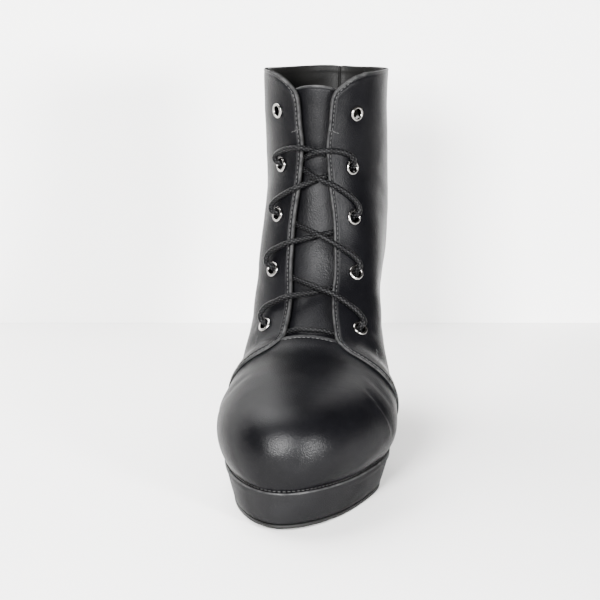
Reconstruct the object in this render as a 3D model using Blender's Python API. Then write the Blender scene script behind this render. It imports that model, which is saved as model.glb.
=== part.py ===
"""Lace-up ankle boot for the right foot: platform forefoot, block heel and an open derby lacing.

The shoe is worked out in its own frame first: y runs from the toe back to the heel, x points to the
inner (medial) side of the foot and z is up. At the end everything moves so that the middle of the
bounding box is over the origin. The toe then points to -Y and the inner side to +X.

The upper follows sections that fan out from the toe to the collar. A section starts on the ridge of
the foot, runs round one side and ends on the feather line, where upper and sole meet, or further up
on the line of the back seam. A place on the upper is a station, counted in sections from the toe,
and a share, which is 0 on the ridge, 1 at the end of the inner side and -1 at that of the outer side.
"""
import math
from collections import namedtuple

import bmesh
import bpy
import numpy as np
from mathutils import Matrix, Vector

# Driving sizes of the last and the sole, in metres
LENGTH = 0.233
BALL_WIDTH = 0.095
SHAFT_WIDTH = 0.0675
WAIST_WIDTH = 0.060
SEAT_WIDTH = 0.058
HEEL_HEIGHT = 0.100
VAMP_HEIGHT = 0.054
SHAFT_HEIGHT = 0.112
PLATFORM = 0.0205
TOE_SPRING = 0.002
OUTSOLE = 0.0020
SHANK = 0.0065
SWING = 0.0085
BALL_BULGE = 0.0045
TAPER = 0.0034

# Heel block and its top lift
HEEL_BREAST = 0.172
HEEL_FOOT_WIDTH = 0.048
HEEL_FOOT_LENGTH = 0.043
HEEL_SET_IN = 0.005
TOP_LIFT = 0.006

# Leather, insole and tongue
WALL = 0.0014
QUARTER_STEP = 0.0012
INSOLE = 0.0022
INSOLE_ROOM = 0.0016
TONGUE_WIDTH = 0.052
TONGUE_THICKNESS = 0.0026
GAP = 0.0003

# Lacing
EYELET_FLANGE = 0.0085
EYELET_HOLE = 0.0050
EYELET_WALL = 0.0004
EYELET_HEIGHT = 0.0008
LACE = 0.0024

PITCH = HEEL_HEIGHT - PLATFORM
TIP = 0.009 * LENGTH
HEEL_END = 0.983 * LENGTH
TOE_REACH = 0.38 * LENGTH
TOE_POWER = 1.8
SEAM_STATION = 9.75
BACK_STATION = 18

# Mesh density
VAMP_ROWS = 17
BACK_ROWS = 16
COLLAR_ROWS = 8
FACING_COLUMN = 3
SIDE_COLUMNS = 15
ARC_STEPS = 72
OUTLINE_STEPS = 34
RING_SIDES = 14
TUBE_SIDES = 6

# Sections of the upper. The ridge is at top_y (share of LENGTH) and at lift x PITCH + foot x VAMP_HEIGHT
# + shaft x SHAFT_HEIGHT above the platform. The end is at end_y, end_shaft x SHAFT_HEIGHT above the
# footbed. Half the width is ball x BALL_WIDTH / 2 + ankle x SHAFT_WIDTH / 2, and medial (share of
# half the ball width) moves it inwards. The widest place lies at the share widest of the way down.
Section = namedtuple("Section", "top_y lift foot shaft end_y end_shaft ball ankle medial widest power")
SECTIONS = (
    Section(0.009, 0.00, 0.037, 0.000, 0.009, 0.000, 0.000, 0.00, 0.000, 0.80, 2.0),
    Section(0.002, 0.00, 0.216, 0.000, 0.014, 0.000, 0.160, 0.00, 0.000, 0.80, 2.0),
    Section(0.000, 0.00, 0.343, 0.000, 0.027, 0.000, 0.290, 0.00, 0.010, 0.78, 2.0),
    Section(0.011, 0.00, 0.510, 0.000, 0.054, 0.000, 0.445, 0.00, 0.015, 0.74, 2.1),
    Section(0.034, 0.00, 0.647, 0.000, 0.086, 0.000, 0.585, 0.00, 0.020, 0.71, 2.1),
    Section(0.073, 0.00, 0.755, 0.000, 0.125, 0.000, 0.710, 0.00, 0.020, 0.69, 2.1),
    Section(0.133, 0.00, 0.833, 0.000, 0.176, 0.000, 0.845, 0.00, 0.030, 0.67, 2.1),
    Section(0.206, 0.00, 0.892, 0.000, 0.236, 0.000, 0.950, 0.00, 0.045, 0.66, 2.1),
    Section(0.283, 0.00, 0.931, 0.000, 0.296, 0.000, 1.005, 0.00, 0.055, 0.66, 2.1),
    Section(0.352, 0.00, 0.970, 0.000, 0.360, 0.000, 0.980, 0.00, 0.063, 0.64, 2.1),
    Section(0.408, 0.00, 1.040, 0.000, 0.438, 0.000, 0.915, 0.00, 0.065, 0.62, 2.1),
    Section(0.455, 0.30, 0.600, 0.070, 0.515, 0.000, 0.580, 0.36, 0.055, 0.60, 2.0),
    Section(0.498, 0.65, 0.250, 0.090, 0.592, 0.000, 0.240, 0.74, 0.045, 0.58, 2.0),
    Section(0.534, 0.95, 0.000, 0.125, 0.670, 0.000, 0.040, 0.97, 0.040, 0.55, 2.0),
    Section(0.560, 1.00, 0.000, 0.225, 0.747, 0.000, 0.000, 1.00, 0.030, 0.54, 2.0),
    Section(0.575, 1.00, 0.000, 0.360, 0.824, 0.000, 0.000, 1.00, 0.030, 0.54, 2.0),
    Section(0.586, 1.00, 0.000, 0.487, 0.901, 0.000, 0.000, 1.00, 0.025, 0.54, 2.0),
    Section(0.590, 1.00, 0.000, 0.595, 0.966, 0.000, 0.000, 0.99, 0.022, 0.532, 2.0),
    Section(0.592, 1.00, 0.000, 0.685, 0.983, 0.000, 0.000, 0.99, 0.020, 0.522, 2.0),
    Section(0.592, 1.00, 0.000, 0.766, 0.998, 0.126, 0.000, 0.99, 0.014, 0.505, 2.0),
    Section(0.592, 1.00, 0.000, 0.847, 0.996, 0.288, 0.000, 0.99, 0.008, 0.50, 2.0),
    Section(0.592, 1.00, 0.000, 0.910, 0.983, 0.468, 0.000, 0.99, 0.003, 0.49, 2.0),
    Section(0.592, 1.00, 0.000, 0.960, 0.974, 0.667, 0.000, 0.99, 0.000, 0.50, 2.0),
    Section(0.590, 1.00, 0.000, 1.010, 0.983, 0.946, 0.000, 1.00, 0.000, 0.50, 2.0),
)

# Footbed and underside along the foot: y is a share of LENGTH, spring of TOE_SPRING, pitch of PITCH,
# and under of the height from the floor to the underside of the heel seat
Bed = namedtuple("Bed", "y spring pitch under")
BED = (
    Bed(0.000, 1.00, 0.000, 0.000),
    Bed(0.080, 0.50, 0.000, 0.000),
    Bed(0.170, 0.00, 0.000, 0.000),
    Bed(0.280, 0.00, 0.000, 0.000),
    Bed(0.386, 0.00, 0.020, 0.000),
    Bed(0.430, 0.00, 0.045, 0.000),
    Bed(0.472, 0.00, 0.095, 0.030),
    Bed(0.515, 0.00, 0.168, 0.130),
    Bed(0.558, 0.00, 0.250, 0.250),
    Bed(0.600, 0.00, 0.355, 0.380),
    Bed(0.644, 0.00, 0.470, 0.507),
    Bed(0.730, 0.00, 0.700, 0.722),
    Bed(0.815, 0.00, 0.875, 0.894),
    Bed(0.900, 0.00, 0.970, 0.974),
    Bed(1.000, 0.00, 1.000, 1.000),
)

# Feather line: y is a share of LENGTH. Half the width is a mix of half the ball's, the waist's and the
# seat's width, swing moves it by SWING and bulge adds to the inner side by BALL_BULGE.
Plan = namedtuple("Plan", "y ball waist seat swing bulge")
PLAN = (
    Plan(0.00, 0.905, 0.00, 0.00, 0.95, 0.0),
    Plan(0.15, 0.905, 0.00, 0.00, 1.00, 0.1),
    Plan(0.30, 0.905, 0.00, 0.00, 0.98, 0.5),
    Plan(0.36, 0.891, 0.00, 0.00, 0.86, 0.5),
    Plan(0.44, 0.634, 0.30, 0.00, 0.66, 0.4),
    Plan(0.52, 0.344, 0.62, 0.00, 0.40, 0.2),
    Plan(0.60, 0.109, 0.88, 0.00, 0.16, 0.0),
    Plan(0.68, 0.000, 1.00, 0.00, 0.03, 0.0),
    Plan(0.86, 0.000, 0.00, 1.00, 0.00, 0.0),
    Plan(1.00, 0.000, 0.00, 1.00, 0.00, 0.0),
)

# Lower edge of the quarters, from the throat to the feather line
Derby = namedtuple("Derby", "share station")
DERBY = (
    Derby(0.00, 9.85),
    Derby(0.14, 9.82),
    Derby(0.196, 9.75),
    Derby(0.23, 9.50),
    Derby(0.27, 9.32),
    Derby(0.35, 9.15),
    Derby(0.45, 9.03),
    Derby(0.53, 8.92),
    Derby(0.62, 8.96),
    Derby(0.78, 9.25),
    Derby(1.00, 9.75),
)

# Front edge of the quarters, from the throat to the rounded corner of the collar
Facing = namedtuple("Facing", "station share")
FACING = (
    Facing(9.75, 0.196),
    Facing(10.1, 0.182),
    Facing(10.5, 0.173),
    Facing(11.2, 0.155),
    Facing(12.0, 0.150),
    Facing(12.8, 0.158),
    Facing(13.4, 0.150),
    Facing(14.4, 0.130),
    Facing(15.0, 0.108),
    Facing(15.65, 0.083),
    Facing(16.4, 0.065),
    Facing(17.2, 0.052),
    Facing(18.0, 0.047),
    Facing(19.0, 0.055),
    Facing(20.0, 0.062),
    Facing(20.8, 0.071),
    Facing(21.5, 0.092),
    Facing(22.1, 0.125),
    Facing(22.7, 0.170),
    Facing(23.0, 0.235),
)

# Middles of the eyelets, the top pair first
Eyelet = namedtuple("Eyelet", "station share")
EYELETS = (
    Eyelet(20.30, 0.184),
    Eyelet(17.05, 0.175),
    Eyelet(14.92, 0.250),
    Eyelet(13.05, 0.317),
    Eyelet(11.08, 0.354),
)

# Depth of the tongue's face under the ridge, in shares of the room that lace and facing need
Tongue = namedtuple("Tongue", "station depth")
TONGUE = (
    Tongue(8.60, 0.00),
    Tongue(9.62, 0.00),
    Tongue(10.22, 1.02),
    Tongue(12.00, 1.12),
    Tongue(18.00, 1.12),
    Tongue(22.00, 1.20),
)
TONGUE_TOP = 21.70
TONGUE_BASE = 8.60

# A lace strand's route across the throat, chosen by hand: station, share of the facing's share, and
# height (share of the lace's own height) over the facing (positive) or under it (negative)
Route = namedtuple("Route", "station share height")
BAR_ROUTE = (
    Route(10.50, -1.45, -1.0),
    Route(10.50, -1.0, -1.0),
    Route(10.56, 0.0, -0.85),
    Route(10.50, 1.0, -1.0),
    Route(10.50, 1.45, -1.0),
)
CROSSING_ROUTES = (
    ((Route(17.52, -2.10, 1.0), Route(17.60, -1.05, 1.0), Route(17.38, 0.15, -0.16),
      Route(17.20, 1.05, -1.0), Route(17.25, 2.6, -1.0)),
     (Route(17.36, 2.10, 1.0), Route(17.44, 1.05, 1.0), Route(17.34, 0.0, 0.16),
      Route(17.04, -1.05, -1.0), Route(16.95, -2.6, -1.0))),
    ((Route(15.40, -1.90, 1.0), Route(15.68, -1.05, 1.0), Route(16.03, 0.0, -0.13),
      Route(16.25, 1.05, -1.0), Route(16.50, 2.3, -1.0)),
     (Route(15.62, 1.90, 1.0), Route(15.90, 1.05, 1.0), Route(16.10, 0.1, 0.13),
      Route(16.50, -1.05, -1.0), Route(16.75, -2.3, -1.0))),
    ((Route(13.45, -1.60, 1.0), Route(13.66, -1.05, 1.0), Route(13.97, 0.0, -0.13),
      Route(14.25, 1.05, -1.0), Route(14.50, 1.8, -1.0)),
     (Route(13.50, 1.60, 1.0), Route(13.72, 1.05, 1.0), Route(14.04, 0.1, 0.13),
      Route(14.45, -1.05, -1.0), Route(14.65, -1.8, -1.0))),
    ((Route(11.55, -1.60, 1.0), Route(11.78, -1.05, 1.0), Route(12.11, 0.0, -0.13),
      Route(12.42, 1.05, -1.0), Route(12.65, 1.6, -1.0)),
     (Route(11.68, 1.60, 1.0), Route(11.98, 1.05, 1.0), Route(12.18, 0.1, 0.13),
      Route(12.68, -1.05, -1.0), Route(12.85, -1.6, -1.0))),
)

Finish = namedtuple("Finish", "name color roughness metallic")
LEATHER = Finish("black_leather", (0.012, 0.012, 0.013), 0.38, 0.0)
LINING = Finish("lining_leather", (0.030, 0.028, 0.027), 0.70, 0.0)
RUBBER = Finish("black_rubber", (0.010, 0.010, 0.010), 0.60, 0.0)
NICKEL = Finish("bright_nickel", (0.72, 0.71, 0.69), 0.18, 1.0)
LACE_CORD = Finish("waxed_lace", (0.014, 0.014, 0.015), 0.45, 0.0)


class Curve:
    """Smooth curve through a table's points that doesn't swing past them."""

    def __init__(self, xs, ys):
        self.xs = np.asarray(xs, float)
        self.ys = np.asarray(ys, float)
        step = np.diff(self.xs)
        rise = np.diff(self.ys) / step
        slope = np.concatenate([rise[:1], (rise[:-1] * step[1:] + rise[1:] * step[:-1])
                                / (step[1:] + step[:-1]), rise[-1:]])
        for i in range(1, len(slope) - 1):
            limit = 3 * min(abs(rise[i - 1]), abs(rise[i]))
            flat = rise[i - 1] * rise[i] <= 0
            slope[i] = 0.0 if flat else math.copysign(min(abs(slope[i]), limit), slope[i])
        self.slope = slope

    def __call__(self, x):
        i = int(np.clip(np.searchsorted(self.xs, x) - 1, 0, len(self.xs) - 2))
        width = self.xs[i + 1] - self.xs[i]
        t = min(max((x - self.xs[i]) / width, 0.0), 1.0)
        near = (2 * t - 3) * t * t + 1
        return float(near * self.ys[i] + (1 - near) * self.ys[i + 1]
                     + (t * (t - 1) ** 2 * self.slope[i] + t * t * (t - 1) * self.slope[i + 1]) * width)


def curves(table, key=None):
    """One curve for each column of a table, over its key column or over the row numbers."""
    xs = [getattr(row, key) for row in table] if key else range(len(table))
    return {name: Curve(list(xs), [getattr(row, name) for row in table]) for name in table[0]._fields}


SECTION_CURVES = curves(SECTIONS)
BED_CURVES = curves(BED, "y")
PLAN_CURVES = curves(PLAN, "y")
DERBY_CURVE = curves(DERBY, "share")["station"]
FACING_CURVE = curves(FACING, "station")["share"]
TONGUE_CURVE = curves(TONGUE, "station")["depth"]
LAST_STATION = len(SECTIONS) - 1


def footbed(y):
    """Height of the feather line at y."""
    share = y / LENGTH
    return (PLATFORM + TOE_SPRING * BED_CURVES["spring"](share)
            + PITCH * BED_CURVES["pitch"](share))


def underside(y):
    """Height of the outsole's lower face at y."""
    share = y / LENGTH
    return (TOE_SPRING * BED_CURVES["spring"](share)
            + (HEEL_HEIGHT - SHANK) * BED_CURVES["under"](share))


def middle(y):
    """How far the foot's middle line swings to the inner side at y."""
    return SWING * PLAN_CURVES["swing"](y / LENGTH)


def foot_half(y, side):
    """Half the width of the feather line at y, for the side +1 (inner) or -1 (outer)."""
    plan = {name: curve(y / LENGTH) for name, curve in PLAN_CURVES.items()}
    half = (plan["ball"] * BALL_WIDTH + plan["waist"] * WAIST_WIDTH + plan["seat"] * SEAT_WIDTH) / 2
    if side > 0:
        half += BALL_BULGE * plan["bulge"]
    if y < TIP + TOE_REACH:
        gone = min(1.0, max(0.0, 1 - (y - TIP) / TOE_REACH))
        half *= max(0.0, 1 - gone ** TOE_POWER) ** (1 / TOE_POWER)
    radius = SEAT_WIDTH / 2
    if y > HEEL_END - radius:
        gone = min(1.0, (y - HEEL_END + radius) / radius)
        half *= math.sqrt(max(0.0, 1 - gone * gone))
    return half


class Arch:
    """One side of a section, from the ridge to its end, as a line that is measured by its length."""

    known = {}

    def __init__(self, station, side):
        value = {name: curve(station) for name, curve in SECTION_CURVES.items()}
        top_y = value["top_y"] * LENGTH
        top_z = (PLATFORM + value["lift"] * PITCH + value["foot"] * VAMP_HEIGHT
                 + value["shaft"] * SHAFT_HEIGHT)
        end_y = value["end_y"] * LENGTH
        end_z = footbed(end_y) + value["end_shaft"] * SHAFT_HEIGHT
        widest = value["ball"] * BALL_WIDTH / 2 + value["ankle"] * SHAFT_WIDTH / 2
        widest += side * value["medial"] * BALL_WIDTH / 2
        end = min(0.995 * widest, foot_half(end_y, side)) if station < BACK_STATION else 0.0
        turn = math.acos(end / widest) if widest > 0 else math.pi / 2
        upper = np.linspace(0, math.pi / 2, ARC_STEPS // 2 + 1)
        lower = np.linspace(0, turn, ARC_STEPS // 2 + 1)[1:]
        power = 2 / value["power"]
        down = value["widest"]
        x = np.concatenate([widest * np.sin(upper) ** power, widest * np.cos(lower)])
        d = np.concatenate([
            down * (1 - np.clip(np.cos(upper), 0, 1) ** power),
            down + (1 - down) * np.sin(lower) / math.sin(turn)])
        y = top_y + (end_y - top_y) * d
        z = top_z + (end_z - top_z) * d
        swing = np.array([middle(v) for v in y])
        self.line = np.stack([side * x + swing, y, z], 1)
        run = np.linalg.norm(np.diff(self.line, axis=0), axis=1)
        self.run = np.concatenate([[0.0], np.cumsum(run)])

    @property
    def length(self):
        """Length of the side, from the ridge to the end."""
        return self.run[-1]

    def point(self, share):
        """The point at a share of the length."""
        return np.array([np.interp(share * self.run[-1], self.run, self.line[:, i]) for i in range(3)])

    @classmethod
    def at(cls, station, side):
        """The arch at a station, worked out once."""
        key = (round(station, 5), side)
        if key not in cls.known:
            cls.known[key] = cls(station, side)
        return cls.known[key]


def surface(station, share):
    """The point on the last at a station and a signed share."""
    side = 1 if share >= 0 else -1
    return Arch.at(min(max(station, 0.0), LAST_STATION), side).point(min(abs(share), 1.0))


def outward(station, share):
    """The unit normal of the last at a station and a signed share."""
    step = 0.02
    station = min(max(station, 0.3), LAST_STATION - step)
    share = min(max(share, -1 + step), 1 - step)
    along = surface(station + step, share) - surface(station - step, share)
    across = surface(station, share + step) - surface(station, share - step)
    normal = np.cross(across, along)
    return normal / np.linalg.norm(normal)


def lifted(station, share, height):
    """The point at a height over the last."""
    point = surface(station, share)
    normal = outward(station, share)
    if abs(share) < 0.999:
        return point + normal * height
    if station > BACK_STATION - 1e-6:
        normal[0] = 0.0
    on_bed = station < BACK_STATION + 1e-6
    if on_bed:
        normal[2] = 0.0
    point = point + normal / np.linalg.norm(normal) * height
    if on_bed:
        point[2] = footbed(point[1])
    return point


def principled(finish):
    """The material of a finish, made once."""
    material = bpy.data.materials.get(finish.name)
    if material is None:
        material = bpy.data.materials.new(finish.name)
        material.use_nodes = True
        shader = material.node_tree.nodes["Principled BSDF"]
        shader.inputs["Base Color"].default_value = (*finish.color, 1.0)
        shader.inputs["Roughness"].default_value = finish.roughness
        shader.inputs["Metallic"].default_value = finish.metallic
        material.diffuse_color = (*finish.color, 1.0)
    return material


def solid(name, points, faces, finish):
    """A closed mesh object with its faces turned outwards."""
    mesh = bpy.data.meshes.new(name)
    mesh.from_pydata([tuple(p) for p in points], [], faces)
    mesh.materials.append(principled(finish))
    work = bmesh.new()
    work.from_mesh(mesh)
    bmesh.ops.remove_doubles(work, verts=work.verts, dist=1e-7)
    bmesh.ops.recalc_face_normals(work, faces=work.faces)
    work.to_mesh(mesh)
    work.free()
    item = bpy.data.objects.new(name, mesh)
    bpy.context.scene.collection.objects.link(item)
    return item


def apply_boolean(item, other, operation):
    """Join other to item or cut it from item, and remove other."""
    modifier = item.modifiers.new(operation.title(), "BOOLEAN")
    modifier.operation = operation
    modifier.solver = "EXACT"
    modifier.object = other
    bpy.context.view_layer.update()
    evaluated = item.evaluated_get(bpy.context.evaluated_depsgraph_get())
    mesh = bpy.data.meshes.new_from_object(evaluated)
    item.modifiers.clear()
    old = item.data
    item.data = mesh
    mesh.name = item.name
    bpy.data.meshes.remove(old)
    bpy.data.objects.remove(other)


def upper_columns():
    """The columns of the upper's grid, from the outer side's end to the inner side's."""
    return range(-SIDE_COLUMNS, SIDE_COLUMNS + 1)


def column_share(column, edge):
    """The signed share of a column when the facing's edge is at the share edge."""
    count = abs(column)
    if count <= FACING_COLUMN:
        share = edge * count / FACING_COLUMN
    else:
        share = edge + (1 - edge) * (count - FACING_COLUMN) / (SIDE_COLUMNS - FACING_COLUMN)
    return math.copysign(share, column)


def quarter_place(station, column):
    """Station and share on the quarters for a row's station at the facing and a column."""
    share = column_share(column, FACING_CURVE(station))
    fade = max(0.0, (BACK_STATION - station) / (BACK_STATION - SEAM_STATION)) ** 2
    return station + (DERBY_CURVE(abs(share)) - SEAM_STATION) * fade, share


def upper_rows():
    """Rows of the upper: (outer step, places by column). Quarter rows leave the throat open."""
    rows = []
    for row in range(1, VAMP_ROWS + 1):
        places = {}
        for column in upper_columns():
            share = column_share(column, FACING_CURVE(SEAM_STATION))
            places[column] = (DERBY_CURVE(abs(share)) * row / VAMP_ROWS, share)
        rows.append((0.0, places))
    stations = list(np.linspace(SEAM_STATION, BACK_STATION, BACK_ROWS + 1))
    stations += list(np.linspace(BACK_STATION, LAST_STATION, COLLAR_ROWS + 1))[1:]
    for station in stations:
        places = {c: quarter_place(station, c) for c in upper_columns() if abs(c) >= FACING_COLUMN}
        rows.append((QUARTER_STEP, places))
    return rows


def make_upper():
    """The upper: one hollow wall of vamp and quarters, open at collar, throat and below."""
    points = []
    outer = []
    inner = []
    pole_out = surface(0.0, 0.0)
    pole_in = pole_out + np.array([0.0, WALL, 0.0])
    rows = upper_rows()
    for step, places in rows:
        out_row = {}
        in_row = {}
        for column, (station, share) in places.items():
            closed = station >= BACK_STATION - 1e-6 and column == SIDE_COLUMNS
            if closed:
                out_row[column] = out_row[-SIDE_COLUMNS]
                in_row[column] = in_row[-SIDE_COLUMNS]
                continue
            out_row[column] = len(points)
            points.append(lifted(station, share, step))
            in_row[column] = len(points)
            points.append(lifted(station, share, -WALL))
        outer.append(out_row)
        inner.append(in_row)
    inner[VAMP_ROWS] = {c: inner[VAMP_ROWS - 1][c] for c in inner[VAMP_ROWS]}
    top = len(points)
    points += [pole_out, pole_in]

    faces = []
    ends = (-SIDE_COLUMNS, SIDE_COLUMNS)
    pairs = list(zip(upper_columns(), list(upper_columns())[1:]))
    for a, b in pairs:
        faces.append((top, outer[0][a], outer[0][b]))
        faces.append((top + 1, inner[0][b], inner[0][a]))
    for end in ends:
        faces.append((top, outer[0][end], inner[0][end], top + 1))
    for row in range(1, len(rows)):
        low_out, up_out = outer[row - 1], outer[row]
        low_in, up_in = inner[row - 1], inner[row]
        for a, b in pairs:
            if not {a, b} <= (low_out.keys() & up_out.keys()):
                continue
            faces.append((low_out[a], low_out[b], up_out[b], up_out[a]))
            if row != VAMP_ROWS:
                faces.append((low_in[b], low_in[a], up_in[a], up_in[b]))
        rims = [] if low_out[ends[0]] == low_out[ends[1]] else list(ends)
        if row >= VAMP_ROWS:
            rims += [-FACING_COLUMN, FACING_COLUMN]
        for rim in rims:
            ring = [low_out[rim], up_out[rim], up_in[rim], low_in[rim]]
            faces.append(tuple(dict.fromkeys(ring)))
    seam_out, seam_in = outer[VAMP_ROWS - 1], inner[VAMP_ROWS - 1]
    for a, b in pairs:
        if abs(a) <= FACING_COLUMN and abs(b) <= FACING_COLUMN:
            faces.append((seam_out[a], seam_out[b], seam_in[b], seam_in[a]))
        if {a, b} <= outer[-1].keys():
            faces.append((outer[-1][a], outer[-1][b], inner[-1][b], inner[-1][a]))
    return solid("upper", points, faces, LEATHER)


def sheet(name, outer, inner, finish):
    """A closed sheet between two grids of points with the same rows and columns."""
    rows, columns = outer.shape[:2]
    points = list(outer.reshape(-1, 3)) + list(inner.reshape(-1, 3))
    back = rows * columns
    faces = []
    for r in range(rows - 1):
        for c in range(columns - 1):
            ring = (r * columns + c, r * columns + c + 1, (r + 1) * columns + c + 1, (r + 1) * columns + c)
            faces.append(ring)
            faces.append(tuple(back + i for i in reversed(ring)))
    edge = [c for c in range(columns)]
    edge += [r * columns + columns - 1 for r in range(1, rows)]
    edge += [(rows - 1) * columns + c for c in reversed(range(columns - 1))]
    edge += [r * columns for r in reversed(range(1, rows - 1))]
    for a, b in zip(edge, edge[1:] + edge[:1]):
        faces.append((a, b, back + b, back + a))
    return solid(name, points, faces, finish)


def lace_room():
    """Depth under the last of the tongue's face where the lace passes between it and a facing."""
    return WALL + GAP + LACE + GAP


def make_tongue():
    """The tongue: a curved sheet under the throat, sewn in under the vamp's edge."""
    rows, half_columns = 22, 5
    outer = np.zeros((rows, 2 * half_columns + 1, 3))
    inner = np.zeros_like(outer)
    base = WALL + GAP
    for r in range(rows):
        for c in range(-half_columns, half_columns + 1):
            across = c / half_columns
            top = TONGUE_TOP - 0.55 * abs(across) ** 3
            station = TONGUE_BASE + (top - TONGUE_BASE) * r / (rows - 1)
            side = 1 if c >= 0 else -1
            spread = 0.72 + 0.28 * min(1.0, (station - TONGUE_BASE) / 6)
            share = across * spread * TONGUE_WIDTH / 2 / Arch.at(station, side).length
            depth = base + (lace_room() - base) * TONGUE_CURVE(station)
            outer[r, c + half_columns] = lifted(station, share, -depth)
            inner[r, c + half_columns] = lifted(station, share, -depth - TONGUE_THICKNESS)
    return sheet("tongue", outer, inner, LEATHER)


def side_line(side):
    """The feather line of one side as evenly spaced points from the toe to the heel's back."""
    half = 0.5 * (TIP + HEEL_END)
    shares = np.linspace(0, 1, 160)
    ys = np.concatenate([TIP + (half - TIP) * shares ** 2, HEEL_END - (HEEL_END - half) * (1 - shares[1:]) ** 2])
    line = np.array([(middle(y) + side * foot_half(y, side), y) for y in ys])
    run = np.concatenate([[0.0], np.cumsum(np.linalg.norm(np.diff(line, axis=0), axis=1))])
    at = np.linspace(0, run[-1], OUTLINE_STEPS + 1)
    return np.stack([np.interp(at, run, line[:, i]) for i in range(2)], 1)


def outline(spread):
    """The feather line's closed loop, moved outwards by spread(y): toe, inner side, heel, outer side."""
    inner = side_line(1)
    outer = side_line(-1)
    loop = np.concatenate([inner, outer[-2:0:-1]])
    along = np.roll(loop, -1, 0) - np.roll(loop, 1, 0)
    normal = np.stack([along[:, 1], -along[:, 0]], 1)
    normal /= np.linalg.norm(normal, axis=1, keepdims=True)
    return loop + normal * np.array([spread(y) for y in loop[:, 1]])[:, None]


def stack(name, levels, finish):
    """A solid from closed loops, one above the other, closed by strips from side to side."""
    count = len(levels[0])
    points = [p for level in levels for p in level]
    faces = []
    for low in range(len(levels) - 1):
        for i in range(count):
            j = (i + 1) % count
            a, b = low * count, (low + 1) * count
            faces.append((a + i, a + j, b + j, b + i))
    for base in (0, (len(levels) - 1) * count):
        faces.append((base, base + 1, base + count - 1))
        for i in range(1, count // 2 - 1):
            faces.append((base + i, base + i + 1, base + count - i - 1, base + count - i))
        faces.append((base + count // 2 - 1, base + count // 2, base + count // 2 + 1))
    return solid(name, points, faces, finish)


def at_height(loop, height):
    """The loop's points at height(y)."""
    return [(x, y, height(y)) for x, y in loop]


def platform_side(depth):
    """Outward spread of the platform's side at a depth share, from its top lip to its lower edge."""
    lip = QUARTER_STEP + GAP

    def spread(y):
        toe = 0.4 + 0.6 * min(1.0, max(0.0, (y - TIP) / (0.25 * LENGTH)))
        return lip - (lip + TAPER * toe) * depth
    return spread


def make_platform():
    """The wrapped platform with its shank, which thins out to the heel seat."""
    def top(y):
        return footbed(y) - GAP

    def bottom(y):
        return underside(y) + OUTSOLE + GAP

    edge = 0.0009
    levels = [at_height(outline(lambda y: platform_side(0.0)(y) - edge), top)]
    for depth in (0.06, 0.35, 0.70, 0.97):
        level = outline(platform_side(depth))
        levels.append([(x, y, top(y) + (bottom(y) - top(y)) * depth) for x, y in level])
    levels.append(at_height(outline(lambda y: platform_side(1.0)(y) - edge), bottom))
    return stack("platform", levels, LEATHER)


def make_outsole():
    """The thin outsole from the toe to the heel's breast."""
    half = OUTLINE_STEPS

    def cut(loop):
        kept = [p for p in loop[:half + 1] if p[1] < HEEL_BREAST - GAP]
        other = [p for p in loop[half + 1:] if p[1] < HEEL_BREAST - GAP]
        count = min(len(kept), len(other) + 1)
        return kept[:count], other[len(other) - count + 1:]

    def level(spread, height):
        inner, outer = cut(outline(spread))
        end_x = {}
        for key, line, side in (("inner", inner, 1), ("outer", outer[::-1], -1)):
            end_x[key] = (middle(HEEL_BREAST) + side * (foot_half(HEEL_BREAST, side) + spread(HEEL_BREAST)))
        limit = HEEL_BREAST - GAP
        loop = inner + [(end_x["inner"], limit), (0.5 * (end_x["inner"] + end_x["outer"]), limit),
                        (end_x["outer"], limit)] + outer
        return at_height(loop, height)

    def side(y):
        return platform_side(1.0)(y) - GAP

    levels = [level(side, lambda y: underside(y) + OUTSOLE),
              level(side, underside)]
    return stack("outsole", levels, RUBBER)


def heel_loop(down, clear=0.0):
    """Closed loop of the heel block at a share of its depth: back curve and breast."""
    side = [p for p in outline(platform_side(1.0)) if p[1] > HEEL_BREAST + 2 * GAP]
    side.sort(key=lambda p: math.atan2(p[0], p[1] - HEEL_BREAST))
    seat_length = HEEL_END - HEEL_BREAST
    curve = 1 - (1 - down) ** 2.2
    wide = 1 + (HEEL_FOOT_WIDTH / SEAT_WIDTH - 1) * curve
    long = 1 + (HEEL_FOOT_LENGTH / seat_length - 1) * curve
    back = HEEL_END - HEEL_SET_IN * down - clear
    corners = [(-SEAT_WIDTH * 0.45, HEEL_BREAST + GAP), (SEAT_WIDTH * 0.45, HEEL_BREAST + GAP)]
    inside = [(SEAT_WIDTH * 0.22, HEEL_BREAST + 0.002), (0.0, HEEL_BREAST + 0.003),
              (-SEAT_WIDTH * 0.22, HEEL_BREAST + 0.002)]
    loop = [corners[0]] + side + [corners[1]] + inside
    return [(x * wide, back - (HEEL_END - y) * long) for x, y in loop]


def heel_stack(name, levels, finish):
    """A solid from the heel's loops, closed by one flat face or fan at each end."""
    count = len(levels[0])
    points = [p for level in levels for p in level]
    faces = []
    for low in range(len(levels) - 1):
        a, b = low * count, (low + 1) * count
        for i in range(count):
            j = (i + 1) % count
            faces.append((a + i, a + j, b + j, b + i))
    for base in (0, (len(levels) - 1) * count):
        middle_point = len(points)
        ring = points[base:base + count]
        points.append(tuple(np.mean(ring, axis=0)))
        for i in range(count):
            faces.append((base + i, base + (i + 1) % count, middle_point))
    return solid(name, points, faces, finish)


def make_heel():
    """The covered heel block under the seat."""
    bottom = TOP_LIFT + GAP
    levels = []
    for down in (0.0, 0.08, 0.2, 0.4, 0.65, 1.0):
        top_loop = heel_loop(0.0)
        loop = heel_loop(down)
        level = []
        for (x, y), (_, seat_y) in zip(loop, top_loop):
            top = underside(seat_y) + OUTSOLE
            level.append((x, y, top + (bottom - top) * down))
        levels.append(level)
    return heel_stack("heel_block", levels, LEATHER)


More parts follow.
